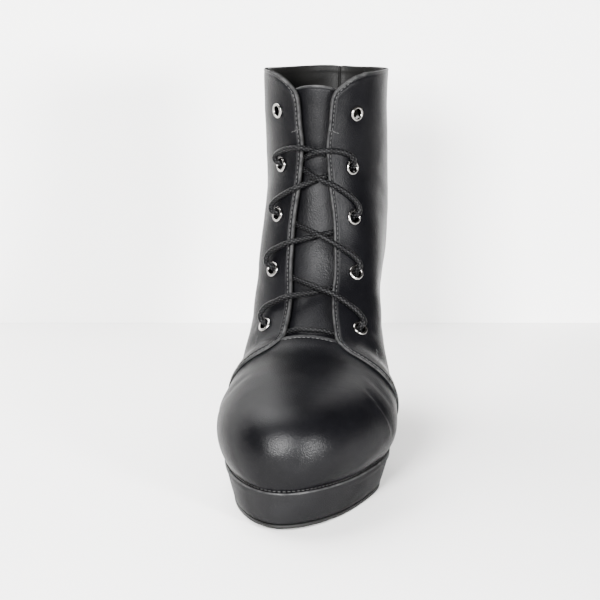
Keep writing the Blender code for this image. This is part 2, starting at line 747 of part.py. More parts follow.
def make_top_lift():
    """The rubber top lift that the heel stands on."""
    loop = heel_loop(1.0)
    levels = [at_height(loop, lambda y: TOP_LIFT), at_height(loop, lambda y: 0.0)]
    return heel_stack("heel_top_lift", levels, RUBBER)


def make_insole():
    """The insole on the platform, inside the upper."""
    def spread(y):
        return -(WALL + INSOLE_ROOM)

    loop = outline(spread)
    return stack("insole", [at_height(loop, lambda y: footbed(y) + INSOLE), at_height(loop, footbed)], LINING)


def eyelet_frame(eyelet, side):
    """Place and turn of an eyelet on the quarter's face."""
    share = side * eyelet.share
    point = lifted(eyelet.station, share, QUARTER_STEP)
    normal = Vector(outward(eyelet.station, share))
    turn = normal.to_track_quat("Z", "Y").to_matrix().to_4x4()
    return Matrix.Translation(Vector(point)) @ turn


def turned(profile, sides):
    """Points and faces of a closed profile turned round Z."""
    points = []
    for i in range(sides):
        angle = 2 * math.pi * i / sides
        points += [(r * math.cos(angle), r * math.sin(angle), z) for r, z in profile]
    count = len(profile)
    faces = []
    for i in range(sides):
        a, b = i * count, (i + 1) % sides * count
        for k in range(count):
            n = (k + 1) % count
            faces.append((a + k, b + k, b + n, a + n))
    return points, faces


def make_eyelet(name, frame):
    """A metal eyelet: a flange on the quarter and a barrel through it."""
    hole = EYELET_HOLE / 2
    flange = EYELET_FLANGE / 2
    barrel = hole + EYELET_WALL
    depth = -(WALL + QUARTER_STEP)
    profile = ((hole, depth), (barrel, depth), (barrel, GAP), (flange, GAP),
               (0.5 * (flange + barrel), GAP + EYELET_HEIGHT), (barrel, GAP + EYELET_HEIGHT),
               (hole, GAP + EYELET_HEIGHT / 2))
    points, faces = turned(profile, RING_SIDES)
    return solid(name, [tuple(frame @ Vector(p)) for p in points], faces, NICKEL)


def make_eyelets(upper):
    """Five pairs of eyelets, and their holes in the upper."""
    items = []
    hole = EYELET_HOLE / 2 + EYELET_WALL + GAP
    reach = WALL + QUARTER_STEP
    for side, word in ((-1, "lateral"), (1, "medial")):
        for number, eyelet in enumerate(EYELETS, start=1):
            frame = eyelet_frame(eyelet, side)
            items.append(make_eyelet(f"eyelet_{word}_{number}", frame))
            profile = ((0.0, -2 * reach), (hole, -2 * reach), (hole, reach), (0.0, reach))
            points, faces = turned(profile, RING_SIDES)
            cutter = solid("cutter", [tuple(frame @ Vector(p)) for p in points], faces, LEATHER)
            cutter.hide_render = True
            cutter.display_type = "WIRE"
            apply_boolean(upper, cutter, "DIFFERENCE")
    return items


def spline(points, steps):
    """Points on a smooth curve through the given ones."""
    padded = [2 * points[0] - points[1]] + list(points) + [2 * points[-1] - points[-2]]
    line = []
    for i in range(1, len(padded) - 2):
        a, b, c, d = padded[i - 1:i + 3]
        for k in range(steps):
            t = k / steps
            line.append(0.5 * (2 * b + (c - a) * t + (2 * a - 5 * b + 4 * c - d) * t * t
                               + (3 * b - a - 3 * c + d) * t ** 3))
    line.append(padded[-2])
    return line


def tube(name, line, radius, finish):
    """A closed round bar along a line of points."""
    points = []
    faces = []
    normal = None
    for i, here in enumerate(line):
        ahead = Vector(line[min(i + 1, len(line) - 1)] - line[max(i - 1, 0)]).normalized()
        if normal is None:
            normal = ahead.orthogonal().normalized()
        normal = (normal - ahead * normal.dot(ahead)).normalized()
        other = ahead.cross(normal)
        for k in range(TUBE_SIDES):
            angle = 2 * math.pi * k / TUBE_SIDES
            points.append(Vector(here) + (normal * math.cos(angle) + other * math.sin(angle)) * radius)
    for i in range(len(line) - 1):
        a, b = i * TUBE_SIDES, (i + 1) * TUBE_SIDES
        for k in range(TUBE_SIDES):
            n = (k + 1) % TUBE_SIDES
            faces.append((a + k, a + n, b + n, b + k))
    faces.append(tuple(range(TUBE_SIDES)))
    faces.append(tuple((len(line) - 1) * TUBE_SIDES + k for k in reversed(range(TUBE_SIDES))))
    return solid(name, points, faces, finish)


def strand(name, route):
    """One strand of lace along a route over the throat."""
    radius = LACE / 2
    over = QUARTER_STEP + 2 * GAP + radius
    under = WALL + GAP + radius
    points = []
    for place in route:
        height = place.height * (over if place.height > 0 else under)
        points.append(lifted(place.station, place.share * FACING_CURVE(place.station), height))
    return tube(name, spline(points, 3), radius, LACE_CORD)


def make_laces():
    """The bar at the throat and the four crossings, each joined from two strands."""
    items = [strand("lace_bar", BAR_ROUTE)]
    for number, (first, second) in enumerate(CROSSING_ROUTES, start=1):
        crossing = strand(f"lace_cross_{number}", first)
        apply_boolean(crossing, strand("other", second), "UNION")
        items.append(crossing)
    return items


def centre(items):
    """Move all meshes so that the middle of their box is over the origin, on the floor."""
    corners = np.array([tuple(v.co) for item in items for v in item.data.vertices])
    low, high = corners.min(0), corners.max(0)
    shift = Vector((-(low[0] + high[0]) / 2, -(low[1] + high[1]) / 2, -low[2]))
    for item in items:
        item.data.transform(Matrix.Translation(shift))


def main():
    """Build the boot."""
    for item in list(bpy.data.objects):
        bpy.data.objects.remove(item, do_unlink=True)
    upper = make_upper()
    items = [upper, make_tongue(), make_insole(), make_platform(), make_outsole(), make_heel(), make_top_lift()]
    items += make_eyelets(upper)
    items += make_laces()
    centre(items)


main()
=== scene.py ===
"""Lace-up ankle boot for the right foot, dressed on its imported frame: leather, lace, eyelets and sole.

The shoe is worked out in its own frame first, as in the part: y runs from the toe back to the heel, x
points to the inner side of the foot and z is up. A place on the upper is a station, counted in sections
from the toe, and a signed share, which is 0 on the ridge, 1 at the end of the inner side and -1 at that
of the outer side. Each finished piece is then moved onto the frame.
"""
from __future__ import annotations

import logging
import math
from collections.abc import Callable, Iterable, Iterator, Sequence
from contextlib import contextmanager
from dataclasses import dataclass
from enum import Enum

import bmesh
import bpy
import numpy as np
from mathutils import Matrix, Vector, noise
from mathutils.kdtree import KDTree

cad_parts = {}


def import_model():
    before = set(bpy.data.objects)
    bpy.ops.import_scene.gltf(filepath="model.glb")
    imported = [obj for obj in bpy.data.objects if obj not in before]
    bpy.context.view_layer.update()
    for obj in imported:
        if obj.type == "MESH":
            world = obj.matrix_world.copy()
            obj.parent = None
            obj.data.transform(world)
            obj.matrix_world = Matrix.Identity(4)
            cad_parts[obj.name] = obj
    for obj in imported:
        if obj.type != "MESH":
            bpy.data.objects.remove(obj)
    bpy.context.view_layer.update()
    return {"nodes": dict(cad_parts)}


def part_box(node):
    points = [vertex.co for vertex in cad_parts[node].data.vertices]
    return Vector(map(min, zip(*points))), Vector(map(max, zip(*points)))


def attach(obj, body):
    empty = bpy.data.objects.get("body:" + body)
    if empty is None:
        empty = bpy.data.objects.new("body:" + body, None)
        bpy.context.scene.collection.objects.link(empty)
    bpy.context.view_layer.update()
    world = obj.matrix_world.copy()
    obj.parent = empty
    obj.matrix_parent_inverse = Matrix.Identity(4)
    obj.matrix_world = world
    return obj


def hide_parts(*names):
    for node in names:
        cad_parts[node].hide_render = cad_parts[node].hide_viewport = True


# Short names for types
Array = np.ndarray
Item = bpy.types.Object
Material = bpy.types.Material
Socket = bpy.types.NodeSocket
Triple = tuple[float, float, float]

LOG = logging.getLogger("boot")
MM = 0.001

# Sections of the upper, with the columns of SECTION_FIELDS
SECTION_FIELDS = ("top_y", "lift", "foot", "shaft", "end_y", "end_shaft", "ball", "ankle", "medial",
                  "widest", "power")
SECTIONS = (
    (0.009, 0.00, 0.037, 0.000, 0.009, 0.000, 0.000, 0.00, 0.000, 0.80, 2.0),
    (0.002, 0.00, 0.216, 0.000, 0.014, 0.000, 0.160, 0.00, 0.000, 0.80, 2.0),
    (0.000, 0.00, 0.343, 0.000, 0.027, 0.000, 0.290, 0.00, 0.010, 0.78, 2.0),
    (0.011, 0.00, 0.510, 0.000, 0.054, 0.000, 0.445, 0.00, 0.015, 0.74, 2.1),
    (0.034, 0.00, 0.647, 0.000, 0.086, 0.000, 0.585, 0.00, 0.020, 0.71, 2.1),
    (0.073, 0.00, 0.755, 0.000, 0.125, 0.000, 0.710, 0.00, 0.020, 0.69, 2.1),
    (0.133, 0.00, 0.833, 0.000, 0.176, 0.000, 0.845, 0.00, 0.030, 0.67, 2.1),
    (0.206, 0.00, 0.892, 0.000, 0.236, 0.000, 0.950, 0.00, 0.045, 0.66, 2.1),
    (0.283, 0.00, 0.931, 0.000, 0.296, 0.000, 1.005, 0.00, 0.055, 0.66, 2.1),
    (0.352, 0.00, 0.970, 0.000, 0.360, 0.000, 0.980, 0.00, 0.063, 0.64, 2.1),
    (0.408, 0.00, 1.040, 0.000, 0.438, 0.000, 0.915, 0.00, 0.065, 0.62, 2.1),
    (0.455, 0.30, 0.600, 0.070, 0.515, 0.000, 0.580, 0.36, 0.055, 0.60, 2.0),
    (0.498, 0.65, 0.250, 0.090, 0.592, 0.000, 0.240, 0.74, 0.045, 0.58, 2.0),
    (0.534, 0.95, 0.000, 0.125, 0.670, 0.000, 0.040, 0.97, 0.040, 0.55, 2.0),
    (0.560, 1.00, 0.000, 0.225, 0.747, 0.000, 0.000, 1.00, 0.030, 0.54, 2.0),
    (0.575, 1.00, 0.000, 0.360, 0.824, 0.000, 0.000, 1.00, 0.030, 0.54, 2.0),
    (0.586, 1.00, 0.000, 0.487, 0.901, 0.000, 0.000, 1.00, 0.025, 0.54, 2.0),
    (0.590, 1.00, 0.000, 0.595, 0.966, 0.000, 0.000, 0.99, 0.022, 0.532, 2.0),
    (0.592, 1.00, 0.000, 0.685, 0.983, 0.000, 0.000, 0.99, 0.020, 0.522, 2.0),
    (0.592, 1.00, 0.000, 0.766, 0.998, 0.126, 0.000, 0.99, 0.014, 0.505, 2.0),
    (0.592, 1.00, 0.000, 0.847, 0.996, 0.288, 0.000, 0.99, 0.008, 0.50, 2.0),
    (0.592, 1.00, 0.000, 0.910, 0.983, 0.468, 0.000, 0.99, 0.003, 0.49, 2.0),
    (0.592, 1.00, 0.000, 0.960, 0.974, 0.667, 0.000, 0.99, 0.000, 0.50, 2.0),
    (0.590, 1.00, 0.000, 1.010, 0.983, 0.946, 0.000, 1.00, 0.000, 0.50, 2.0),
)

# Footbed and underside along the foot
BED_FIELDS = ("y", "spring", "pitch", "under")
BED = (
    (0.000, 1.00, 0.000, 0.000),
    (0.080, 0.50, 0.000, 0.000),
    (0.170, 0.00, 0.000, 0.000),
    (0.280, 0.00, 0.000, 0.000),
    (0.386, 0.00, 0.020, 0.000),
    (0.430, 0.00, 0.045, 0.000),
    (0.472, 0.00, 0.095, 0.030),
    (0.515, 0.00, 0.168, 0.130),
    (0.558, 0.00, 0.250, 0.250),
    (0.600, 0.00, 0.355, 0.380),
    (0.644, 0.00, 0.470, 0.507),
    (0.730, 0.00, 0.700, 0.722),
    (0.815, 0.00, 0.875, 0.894),
    (0.900, 0.00, 0.970, 0.974),
    (1.000, 0.00, 1.000, 1.000),
)

# Feather line, where upper and sole meet
PLAN_FIELDS = ("y", "ball", "waist", "seat", "swing", "bulge")
PLAN = (
    (0.00, 0.905, 0.00, 0.00, 0.95, 0.0),
    (0.15, 0.905, 0.00, 0.00, 1.00, 0.1),
    (0.30, 0.905, 0.00, 0.00, 0.98, 0.5),
    (0.36, 0.891, 0.00, 0.00, 0.86, 0.5),
    (0.44, 0.634, 0.30, 0.00, 0.66, 0.4),
    (0.52, 0.344, 0.62, 0.00, 0.40, 0.2),
    (0.60, 0.109, 0.88, 0.00, 0.16, 0.0),
    (0.68, 0.000, 1.00, 0.00, 0.03, 0.0),
    (0.86, 0.000, 0.00, 1.00, 0.00, 0.0),
    (1.00, 0.000, 0.00, 1.00, 0.00, 0.0),
)

# Lower edge of the quarters: share, station
DERBY = ((0.00, 9.85), (0.14, 9.82), (0.196, 9.75), (0.23, 9.53), (0.27, 9.37), (0.35, 9.26), (0.45, 9.22),
         (0.53, 9.22), (0.62, 9.27), (0.78, 9.45), (1.00, 9.80))

# Front edge of the quarters: station, share
FACING = ((9.75, 0.196), (10.1, 0.182), (10.5, 0.173), (11.2, 0.155), (12.0, 0.150), (12.8, 0.158),
          (13.4, 0.150), (14.4, 0.130), (15.0, 0.108), (15.65, 0.083), (16.4, 0.065), (17.2, 0.052),
          (18.0, 0.047), (19.0, 0.055), (20.0, 0.062), (20.8, 0.071), (21.5, 0.092), (22.1, 0.125),
          (22.6, 0.170), (22.88, 0.220), (23.0, 0.270))

# Middles of the eyelets, the top pair first: station, share
EYELETS = ((20.30, 0.184), (17.05, 0.175), (14.92, 0.250), (13.05, 0.317), (11.08, 0.354))

# Depth of the tongue's face, in shares of the room that lace and facing need: station, depth
TONGUE = ((8.60, 0.00), (9.62, 0.00), (10.22, 1.02), (12.00, 1.12), (18.00, 1.12), (22.00, 1.20))

# Relief along a free edge of the quarters, in mm from the edge: rolled edge, stitched groove, ridge
EDGE_RELIEF = ((0.0, -0.62), (0.15, -0.34), (0.35, -0.14), (0.6, -0.03), (0.9, 0.02), (1.2, 0.0), (1.5, -0.1),
               (1.75, -0.3), (2.0, -0.4), (2.25, -0.3), (2.5, -0.02), (2.8, 0.16), (3.2, 0.18), (3.8, 0.08),
               (4.6, 0.02), (5.6, 0.0))
COLLAR_RELIEF = ((0.0, -0.5), (0.15, -0.2), (0.35, 0.0), (0.6, 0.1), (0.9, 0.12), (1.2, 0.08), (1.5, -0.04),
                 (1.75, -0.12), (2.0, -0.08), (2.5, 0.0), (5.6, 0.0))
THROAT_RELIEF = ((0.0, -0.15), (0.2, 0.3), (0.5, 0.5), (1.0, 0.55), (1.6, 0.5), (2.1, 0.3), (2.5, 0.02),
                 (2.9, -0.1), (3.4, 0.08), (4.5, 0.0))
# Lighter colour along an edge, partly scuffing and partly a painted highlight on the rolled edge and the
# ridge: mm from it, share
WEAR_AND_SHEEN = ((0.0, 0.6), (0.3, 0.9), (0.7, 0.7), (1.1, 0.3), (1.5, 0.0), (2.4, 0.0), (2.8, 0.2), (3.1, 0.15),
        (3.8, 0.0))
# Binding inside the collar: mm from the edge, mm thicker
BINDING = ((0.0, -0.2), (0.5, 0.25), (3.6, 0.25), (4.0, 0.0), (6.0, 0.0))
# Short double rows of stitches: begin and end, each as station and signed share
TACKS = (((10.69, 0.492), (9.80, 0.480)), ((9.90, -0.425), (10.83, -0.417)), ((18.72, 0.058), (18.66, 0.088)),
         ((18.72, -0.058), (18.66, -0.088)))


@dataclass(frozen=True)
class BootSizes:
    """Driving sizes of the boot, in metres, as in the part."""

    length: float = 0.233
    ball_width: float = 0.095
    shaft_width: float = 0.0675
    waist_width: float = 0.060
    seat_width: float = 0.058
    heel_height: float = 0.100
    vamp_height: float = 0.054
    shaft_height: float = 0.112
    platform: float = 0.0205
    toe_spring: float = 0.002
    outsole: float = 0.0020
    shank: float = 0.0065
    swing: float = 0.0085
    ball_bulge: float = 0.0045
    taper: float = 0.0034
    heel_breast: float = 0.172
    heel_foot_width: float = 0.048
    heel_foot_length: float = 0.043
    heel_set_in: float = 0.005
    top_lift: float = 0.006
    wall: float = 0.0014
    quarter_step: float = 0.0012
    tongue_width: float = 0.052
    tongue_thickness: float = 0.0026
    gap: float = 0.0003
    eyelet_flange: float = 0.0085
    eyelet_hole: float = 0.0050
    lace: float = 0.0025
    seam_station: float = 9.75
    back_station: float = 18.0
    tongue_base: float = 8.60
    tongue_top: float = 21.70

    @property
    def pitch(self) -> float:
        """Rise of the footbed from the ball to the heel."""
        return self.heel_height - self.platform

    @property
    def tip(self) -> float:
        """Foremost y of the feather line."""
        return 0.009 * self.length

    @property
    def heel_end(self) -> float:
        """Rearmost y of the feather line."""
        return 0.983 * self.length

    @property
    def lace_room(self) -> float:
        """Depth of the tongue's face where the lace passes between it and a facing."""
        return self.wall + self.gap + 0.0024 + self.gap


class Curve:
    """Smooth curve through a table's points that doesn't swing past them."""

    def __init__(self, xs: Sequence[float], ys: Sequence[float]) -> None:
        """Work out the slopes.

        Args:
            xs: Places of the points, rising.
            ys: Values at the points.
        """
        self.xs = np.asarray(xs, float)
        self.ys = np.asarray(ys, float)
        step = np.diff(self.xs)
        rise = np.diff(self.ys) / step
        inside = (rise[:-1] * step[1:] + rise[1:] * step[:-1]) / (step[1:] + step[:-1])
        slope = np.concatenate([rise[:1], inside, rise[-1:]])
        for i in range(1, len(slope) - 1):
            limit = 3 * min(abs(rise[i - 1]), abs(rise[i]))
            flat = rise[i - 1] * rise[i] <= 0
            slope[i] = 0.0 if flat else math.copysign(min(abs(slope[i]), limit), slope[i])
        self.slope = slope

    def __call__(self, x: Array | float) -> Array:
        """The curve's values.

        Args:
            x: Places, one or many.

        Returns:
            The values, in the same shape.
        """
        x = np.asarray(x, float)
        i = np.clip(np.searchsorted(self.xs, x) - 1, 0, len(self.xs) - 2)
        width = self.xs[i + 1] - self.xs[i]
        t = np.clip((x - self.xs[i]) / width, 0.0, 1.0)
        near = (2 * t - 3) * t * t + 1
        bend = t * (t - 1) ** 2 * self.slope[i] + t * t * (t - 1) * self.slope[i + 1]
        return near * self.ys[i] + (1 - near) * self.ys[i + 1] + bend * width


def curves(fields: Sequence[str], table: Sequence[Sequence[float]], keyed: bool) -> dict[str, Curve]:
    """One curve for each column of a table.

    Args:
        fields: Names of the columns.
        table: The rows.
        keyed: Whether the first column holds the places. Otherwise the row numbers do.

    Returns:
        The curves by column name.
    """
    columns = list(zip(*table))
    xs = columns[0] if keyed else range(len(table))
    return {name: Curve(list(xs), column) for name, column in zip(fields, columns)}


def smoothstep(x: Array | float) -> Array:
    """Rise softly from 0 to 1 as x goes from 0 to 1."""
    x = np.clip(x, 0.0, 1.0)
    return x * x * (3 - 2 * x)


def profile(table: Sequence[Sequence[float]], distance: Array) -> Array:
    """Values of a two-column table in mm at distances in metres, in metres."""
    xs, ys = zip(*table)
    return np.interp(distance, np.array(xs) * MM, np.array(ys) * MM)


def unit(vectors: Array) -> Array:
    """Vectors scaled to length 1."""
    return vectors / np.maximum(np.linalg.norm(vectors, axis=-1, keepdims=True), 1e-12)


def run_along(line: Array) -> Array:
    """Distance of each of a line's points from the first, along the line."""
    return np.concatenate([[0.0], np.cumsum(np.linalg.norm(np.diff(line, axis=0), axis=1))])


def at_runs(at: Array | float, run: Array, line: Array) -> Array:
    """Places on a line.

    Args:
        at: Distances along the line, one or many.
        run: Distance of each of the line's points.
        line: The line's points, or values that go with them.

    Returns:
        The points or values at the distances.
    """
    return np.stack([np.interp(at, run, column) for column in line.T], -1)


def piece(name: str, points: Array, faces: Sequence[Sequence[int]], materials: Sequence[Material],
          marks: dict[str, Array] | None = None) -> Item:
    """A smooth piece from points and faces, in the scene.

    Args:
        name: Its name.
        points: Its points, a row each.
        faces: For each face the numbers of its points.
        materials: Its materials by slot number.
        marks: Values of the points by attribute name, such as how much scuffing and painted edge highlight
            they get.

    Returns:
        The piece.
    """
    mesh = bpy.data.meshes.new(name)
    mesh.from_pydata(points.tolist(), [], faces)
    for word, values in (marks or {}).items():
        mesh.attributes.new(word, "FLOAT", "POINT").data.foreach_set("value", values)
    for material in materials:
        mesh.materials.append(material)
    mesh.polygons.foreach_set("use_smooth", [True] * len(faces))
    item = bpy.data.objects.new(name, mesh)
    bpy.context.scene.collection.objects.link(item)
    return item


@contextmanager
def reworked(mesh: bpy.types.Mesh) -> Iterator[bmesh.types.BMesh]:
    """Open a mesh for work on its points and faces, and write it back.

    Args:
        mesh: The mesh.

    Returns:
        The open mesh, for the length of the block.
    """
    work = bmesh.new()
    work.from_mesh(mesh)
    yield work
    work.to_mesh(mesh)
    work.free()


class Last:
    """The last under the upper: places become points through a dense table that is smoothed once."""

    STEP = 0.05
    SHARES = 160
    ARC_STEPS = 36
    FIRST_NORMAL = 6
    TURNS = 190
    ALL_OVER = 30
    PULL = 0.8
    TOE_LENGTH = 0.38
    TOE_POWER = 1.8

    def __init__(self, sizes: BootSizes) -> None:
        """Fill the table.

        Args:
            sizes: Driving sizes.
        """
        self.sizes = sizes
        self.section = curves(SECTION_FIELDS, SECTIONS, False)
        self.bed = curves(BED_FIELDS, BED, True)
        self.plan = curves(PLAN_FIELDS, PLAN, True)
        self.derby = Curve(*zip(*DERBY))
        self.facing = Curve(*zip(*FACING))
        self.top = len(SECTIONS) - 1
        self.stations = np.arange(0, self.top + self.STEP / 2, self.STEP)
        self.points = self._relaxed(np.array([self._ring(s) for s in self.stations]))
        self.normals = self._normals()
        run = np.linalg.norm(np.diff(self.points, axis=1), axis=2)
        self.lengths = np.stack([run[:, :self.SHARES].sum(1), run[:, self.SHARES:].sum(1)], 1)

    def footbed(self, y: Array | float) -> Array:
        """Height of the feather line at y."""
        share = np.asarray(y, float) / self.sizes.length
        return (self.sizes.platform + self.sizes.toe_spring * self.bed["spring"](share)
                + self.sizes.pitch * self.bed["pitch"](share))

    def underside(self, y: Array | float) -> Array:
        """Height of the outsole's lower face.

        Args:
            y: Places along the foot.

        Returns:
            The heights.
        """
        share = np.asarray(y, float) / self.sizes.length
        rise = self.sizes.heel_height - self.sizes.shank
        return self.sizes.toe_spring * self.bed["spring"](share) + rise * self.bed["under"](share)

    def middle(self, y: Array | float) -> Array:
        """How far the foot's middle line swings to the inner side at y."""
        return self.sizes.swing * self.plan["swing"](np.asarray(y, float) / self.sizes.length)

    def foot_half(self, y: Array | float, side: int) -> Array:
        """Half the width of the feather line at y.

        Args:
            y: Places along the foot.
            side: 1 for the inner, -1 for the outer.

        Returns:
            The half widths.
        """
        s = self.sizes
        y = np.asarray(y, float)
        plan = {name: curve(y / s.length) for name, curve in self.plan.items()}
        half = (plan["ball"] * s.ball_width + plan["waist"] * s.waist_width + plan["seat"] * s.seat_width) / 2
        half = half + (s.ball_bulge * plan["bulge"] if side > 0 else 0.0)
        gone = np.clip(1 - (y - s.tip) / (self.TOE_LENGTH * s.length), 0.0, 1.0)
        half = half * np.maximum(0.0, 1 - gone ** self.TOE_POWER) ** (1 / self.TOE_POWER)
        radius = s.seat_width / 2
        gone = np.clip((y - s.heel_end + radius) / radius, 0.0, 1.0)
        return half * np.sqrt(1 - gone * gone)

    def _arch(self, station: float, side: int) -> Array:
        """One side of a section at even shares, from the ridge to its end.

        Args:
            station: The section's station.
            side: 1 for the inner, -1 for the outer.

        Returns:
            The points.
        """
        s = self.sizes
        value = {name: float(curve(station)) for name, curve in self.section.items()}
        top_y = value["top_y"] * s.length
        top_z = (s.platform + value["lift"] * s.pitch + value["foot"] * s.vamp_height
                 + value["shaft"] * s.shaft_height)
        end_y = value["end_y"] * s.length
        end_z = float(self.footbed(end_y)) + value["end_shaft"] * s.shaft_height
        widest = value["ball"] * s.ball_width / 2 + value["ankle"] * s.shaft_width / 2
        widest += side * value["medial"] * s.ball_width / 2
        end = min(0.995 * widest, float(self.foot_half(end_y, side))) if station < s.back_station else 0.0
        turn = math.acos(end / widest) if widest > 0 else math.pi / 2
        upper = np.linspace(0, math.pi / 2, self.ARC_STEPS + 1)
        lower = np.linspace(0, turn, self.ARC_STEPS + 1)[1:]
        power = 2 / value["power"]
        down = value["widest"]
        x = np.concatenate([widest * np.sin(upper) ** power, widest * np.cos(lower)])
        d = np.concatenate([down * (1 - np.clip(np.cos(upper), 0, 1) ** power),
                            down + (1 - down) * np.sin(lower) / math.sin(turn)])
        y = top_y + (end_y - top_y) * d
        line = np.stack([side * x + self.middle(y), y, top_z + (end_z - top_z) * d], 1)
        run = run_along(line)
        return at_runs(np.linspace(0, run[-1], self.SHARES + 1), run, line)

    def _ring(self, station: float) -> Array:
        """Both sides of a section, from the outer end over the ridge to the inner end."""
        return np.concatenate([self._arch(station, -1)[:0:-1], self._arch(station, 1)])

    def _relaxed(self, points: Array) -> Array:
        """The table with its small unevenness smoothed out, most of all round the heel.

        Args:
            points: The table's points, by station and share.

        Returns:
            The smoothed points. Toe, collar and feather line stay as they were.
        """
        station = self.stations[:, None]
        share = np.abs(np.linspace(-1, 1, points.shape[1]))[None, :]
        back = self.sizes.back_station
        rows = smoothstep((station - 1.0) / 2.5) * smoothstep((self.top - station) / 0.8)
        mask = np.repeat(rows, points.shape[1], axis=1)
        mask[(station < back + self.STEP / 2) & (share > 0.9999)] = 0.0
        heel = smoothstep((station - 14.5) / 2) * smoothstep((21.5 - station) / 2)
        heel = heel * smoothstep((share - 0.5) / 0.3)
        for turn in range(self.TURNS):
            weight = self.PULL * (mask if turn < self.ALL_OVER else mask * heel)[..., None]
            left = np.roll(points, 1, axis=1)
            right = np.roll(points, -1, axis=1)
            left[:, 0] = points[:, -2]
            right[:, -1] = points[:, 1]
            up = np.concatenate([points[:1], points[:-1]])
            down = np.concatenate([points[1:], points[-1:]])
            points = points + weight * ((left + right + up + down) / 4 - points)
        return points

    def _normals(self) -> Array:
        """Work out the table's normals.

        Returns:
            Unit normals by station and share, pointing out of the shoe.
        """
        across = np.gradient(self.points, axis=1)
        closed = self.stations > self.sizes.back_station - self.STEP / 2
        seam = self.points[closed, 1] - self.points[closed, -2]
        across[closed, 0] = seam
        across[closed, -1] = seam
        normal = unit(np.cross(across, np.gradient(self.points, axis=0)))
        normal[:self.FIRST_NORMAL] = normal[self.FIRST_NORMAL]
        return normal

    def _sample(self, grid: Array, station: Array, share: Array) -> Array:
        """Smooth values of a table between its rows and columns.

        Args:
            grid: The table, with a last axis of 3.
            station: Stations.
            share: Signed shares.

        Returns:
            The values at the places.
        """
        rows, columns = grid.shape[:2]
        picks = []
        for place, count in ((station / self.STEP, rows), ((share + 1) * self.SHARES, columns)):
            place = np.clip(place, 0, count - 1)
            first = np.minimum(place.astype(int), count - 2)
            t = place - first
            weights = (((2 - t) * t - 1) * t / 2, ((3 * t - 5) * t * t + 2) / 2,
                       ((4 - 3 * t) * t + 1) * t / 2, (t - 1) * t * t / 2)
            picks.append([(np.clip(first + k - 1, 0, count - 1), w) for k, w in enumerate(weights)])
        total = 0.0
        for i, wi in picks[0]:
            for j, wj in picks[1]:
                total = total + (wi * wj)[..., None] * grid[i, j]
        return total

    def lifted(self, station: Array | float, share: Array | float, height: Array | float) -> Array:
        """Points at a height over the last.

        Args:
            station: Stations.
            share: Signed shares.
            height: Heights, in metres.

        Returns:
            The points, with a last axis of 3.
        """
        station, share, height = np.broadcast_arrays(np.asarray(station, float), share, height)
        point = self._sample(self.points, station, share)
        normal = self.normal(station, share)
        point = point + normal * height[..., None]
        low = (station < self.sizes.back_station + 0.5) & (np.abs(share) > 0.6)
        bed = self.footbed(point[..., 1])
        end = low & (np.abs(share) > 0.9999) & (station < self.sizes.back_station + 1e-6)
        point[..., 2] = np.where(low, np.maximum(point[..., 2], bed), point[..., 2])
        point[..., 2] = np.where(end, bed, point[..., 2])
        return point

    def normal(self, station: Array, share: Array) -> Array:
        """Unit normals at places, turned level towards the feather line.

        Args:
            station: Stations.
            share: Signed shares.

        Returns:
            The normals.
        """
        normal = unit(self._sample(self.normals, station, share))
        level = smoothstep((1 - np.abs(share)) / 0.05)
        level = np.where(station < self.sizes.back_station, level, 1.0)
        normal[..., 2] = np.where(normal[..., 2] < 0, normal[..., 2] * level, normal[..., 2])
        return unit(normal)

    def length(self, station: Array, side: int) -> Array:
        """Lengths of one side of the sections at stations."""
        return np.interp(station, self.stations, self.lengths[:, (side + 1) // 2])

    def pace(self, station: Array, share: Array) -> Array:
        """How far one station is at places, measured along the leather.

        Args:
            station: Stations.
            share: Signed shares.

        Returns:
            Metres per station.
        """
        half = self.STEP
        low = np.clip(station - half, 0, self.top - 2 * half)
        ahead = self._sample(self.points, low + 2 * half, share) - self._sample(self.points, low, share)
        return np.linalg.norm(ahead, axis=-1) / (2 * half)


class Slot(Enum):
    """The record's material slots; one is handed to settle with each piece made here, and nothing reads it.
    """

    LEATHER = "black_leather"
    RUBBER = "black_rubber"
    NICKEL = "bright_nickel"
    LACE = "waxed_lace"


